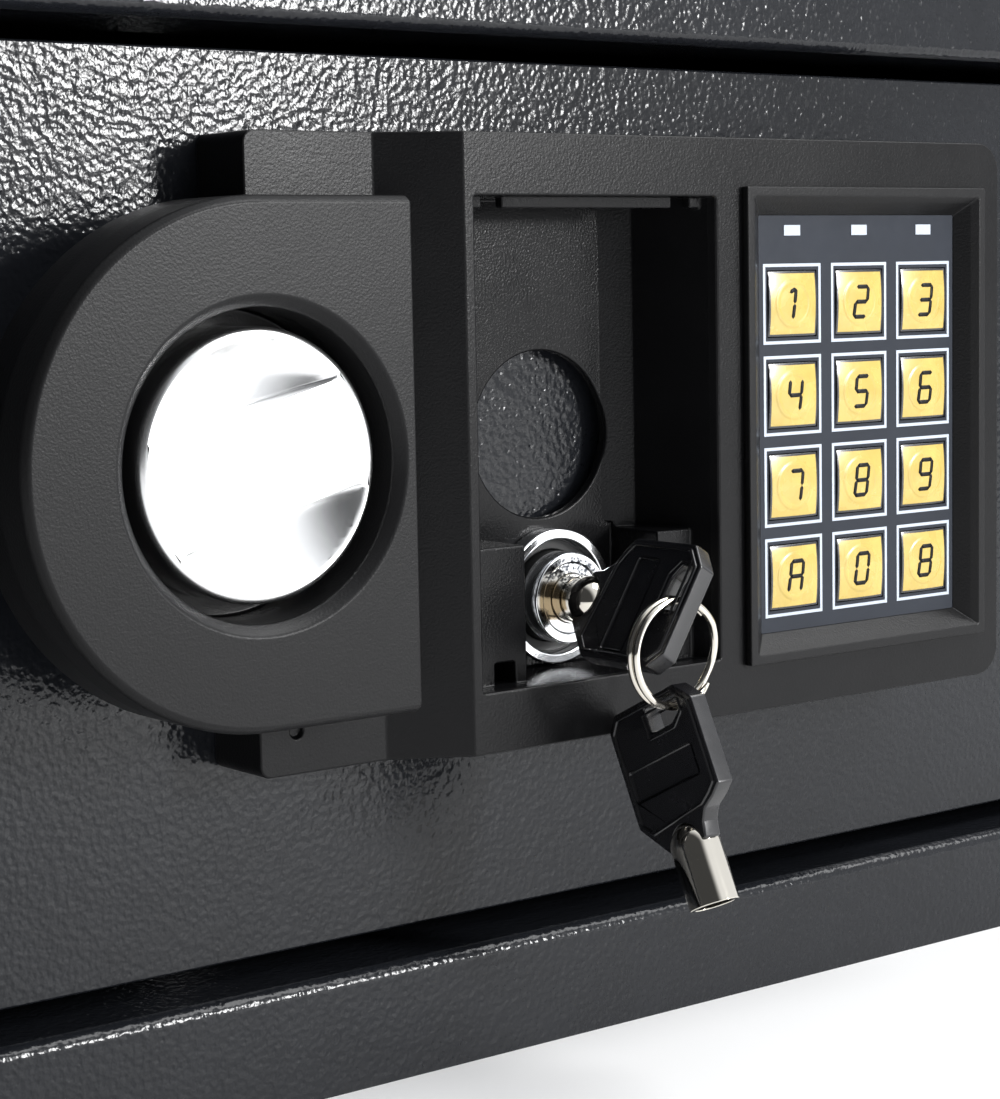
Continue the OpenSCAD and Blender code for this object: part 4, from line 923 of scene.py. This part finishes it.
key_frames_tree, key_frames_ids = frames_tree()
grid_centre = Vector((PAD_CENTRE[0], DOOR_Y - PAD_OUT - FRAME_OUT, PAD_CENTRE[1] + TOP_ROW - 1.5 * PITCH_Z))
grown(
    "key_frames",
    key_frames_tree,
    key_frames_ids,
    {"Columns": 3, "Rows": 4},
    "window_white",
    "door",
    Matrix.Translation(grid_centre * MM) @ Matrix.Rotation(math.pi / 2, 4, "X"),
)


# Ground, light and camera
def pale_ground():
    """A plain pale floor, 8 metres square."""
    ground = Finish("pale_ground", (0.93, 0.93, 0.93), 0.6)
    ground.tint(ground.noise(60, 3.0), 0.01)
    bm = bmesh.new()
    bmesh.ops.create_grid(bm, x_segments=4, y_segments=4, size=4.0)
    mesh = mesh_of(bm, "ground")
    mesh.materials.append(ground.material)
    floor = bpy.data.objects.new("ground", mesh)
    bpy.context.scene.collection.objects.link(floor)


def softbox(name, at, aim, size, power, spared=()):
    """A soft light at one point, aimed at another. It doesn't fall on the spared pieces."""
    light = bpy.data.lights.new(name, "AREA")
    light.shape = "RECTANGLE"
    light.size, light.size_y = size
    light.energy = power
    box = bpy.data.objects.new(name, light)
    box.location = at
    box.rotation_euler = (Vector(aim) - Vector(at)).to_track_quat("-Z", "Y").to_euler()
    if spared:
        lit = bpy.data.collections.new(name + "_falls_on")
        for thing in bpy.context.scene.objects:
            if thing.type == "MESH" and thing.name not in spared:
                lit.objects.link(thing)
        box.light_linking.receiver_collection = lit
    bpy.context.scene.collection.objects.link(box)


def photo_camera():
    """The photograph's view, found from the straight edges of the safe."""
    forward = Vector(LOOK).normalized()
    level = forward.cross(Vector((0, 0, 1))).normalized()
    rise = level.cross(forward)
    right = level * math.cos(ROLL) + rise * math.sin(ROLL)
    up = rise * math.cos(ROLL) - level * math.sin(ROLL)
    turn = Matrix((right, up, -forward)).transposed().to_4x4()
    data = bpy.data.cameras.new("photo_camera")
    data.sensor_fit = "VERTICAL"
    data.sensor_height = SENSOR
    data.lens = LENS
    data.clip_start = 0.01
    data.clip_end = 50
    camera = bpy.data.objects.new("photo_camera", data)
    camera.matrix_world = Matrix.Translation(Vector(EYE) * MM) @ turn
    bpy.context.scene.collection.objects.link(camera)
    bpy.context.scene.camera = camera


def studio_world():
    """White walls all round. The left side lights dimly, and still looks white to the camera."""
    world = bpy.data.worlds.new("studio")
    world.use_nodes = True
    tree = world.node_tree
    background = tree.nodes["Background"]
    background.inputs["Color"].default_value = (0.95, 0.97, 1.0, 1.0)
    way = tree.nodes.new("ShaderNodeTexCoord")
    facing = tree.nodes.new("ShaderNodeVectorMath")
    facing.operation = "DOT_PRODUCT"
    facing.inputs[1].default_value = DIM_WAY
    shade = tree.nodes.new("ShaderNodeMapRange")
    shade.interpolation_type = "SMOOTHSTEP"
    shade.inputs["From Min"].default_value = DIM_START
    shade.inputs["From Max"].default_value = DIM_FULL
    shade.inputs["To Min"].default_value = WHITE_WALL
    shade.inputs["To Max"].default_value = DIM_SIDE
    tree.links.new(way.outputs["Generated"], facing.inputs[0])
    tree.links.new(facing.outputs["Value"], shade.inputs["Value"])
    seen = tree.nodes.new("ShaderNodeLightPath")
    paler = tree.nodes.new("ShaderNodeMath")
    paler.operation = "MAXIMUM"
    tree.links.new(seen.outputs["Is Camera Ray"], paler.inputs[0])
    tree.links.new(shade.outputs["Result"], paler.inputs[1])
    tree.links.new(paler.outputs["Value"], background.inputs["Strength"])
    bpy.context.scene.world = world


pale_ground()
softbox(
    "key_light",
    at=(0.72, -1.49, 0.47),
    aim=(-0.09, -0.17, 0.17),
    size=(0.2, 0.42),
    power=19,
    spared=("body_wrap", "back_plate_rounded"),
)
softbox("top_light", at=(0.95, -0.85, 1.6), aim=(0.3, -0.5, 0.0), size=(1.2, 1.2), power=28)
studio_world()
bpy.context.scene.view_settings.view_transform = "Standard"
photo_camera()
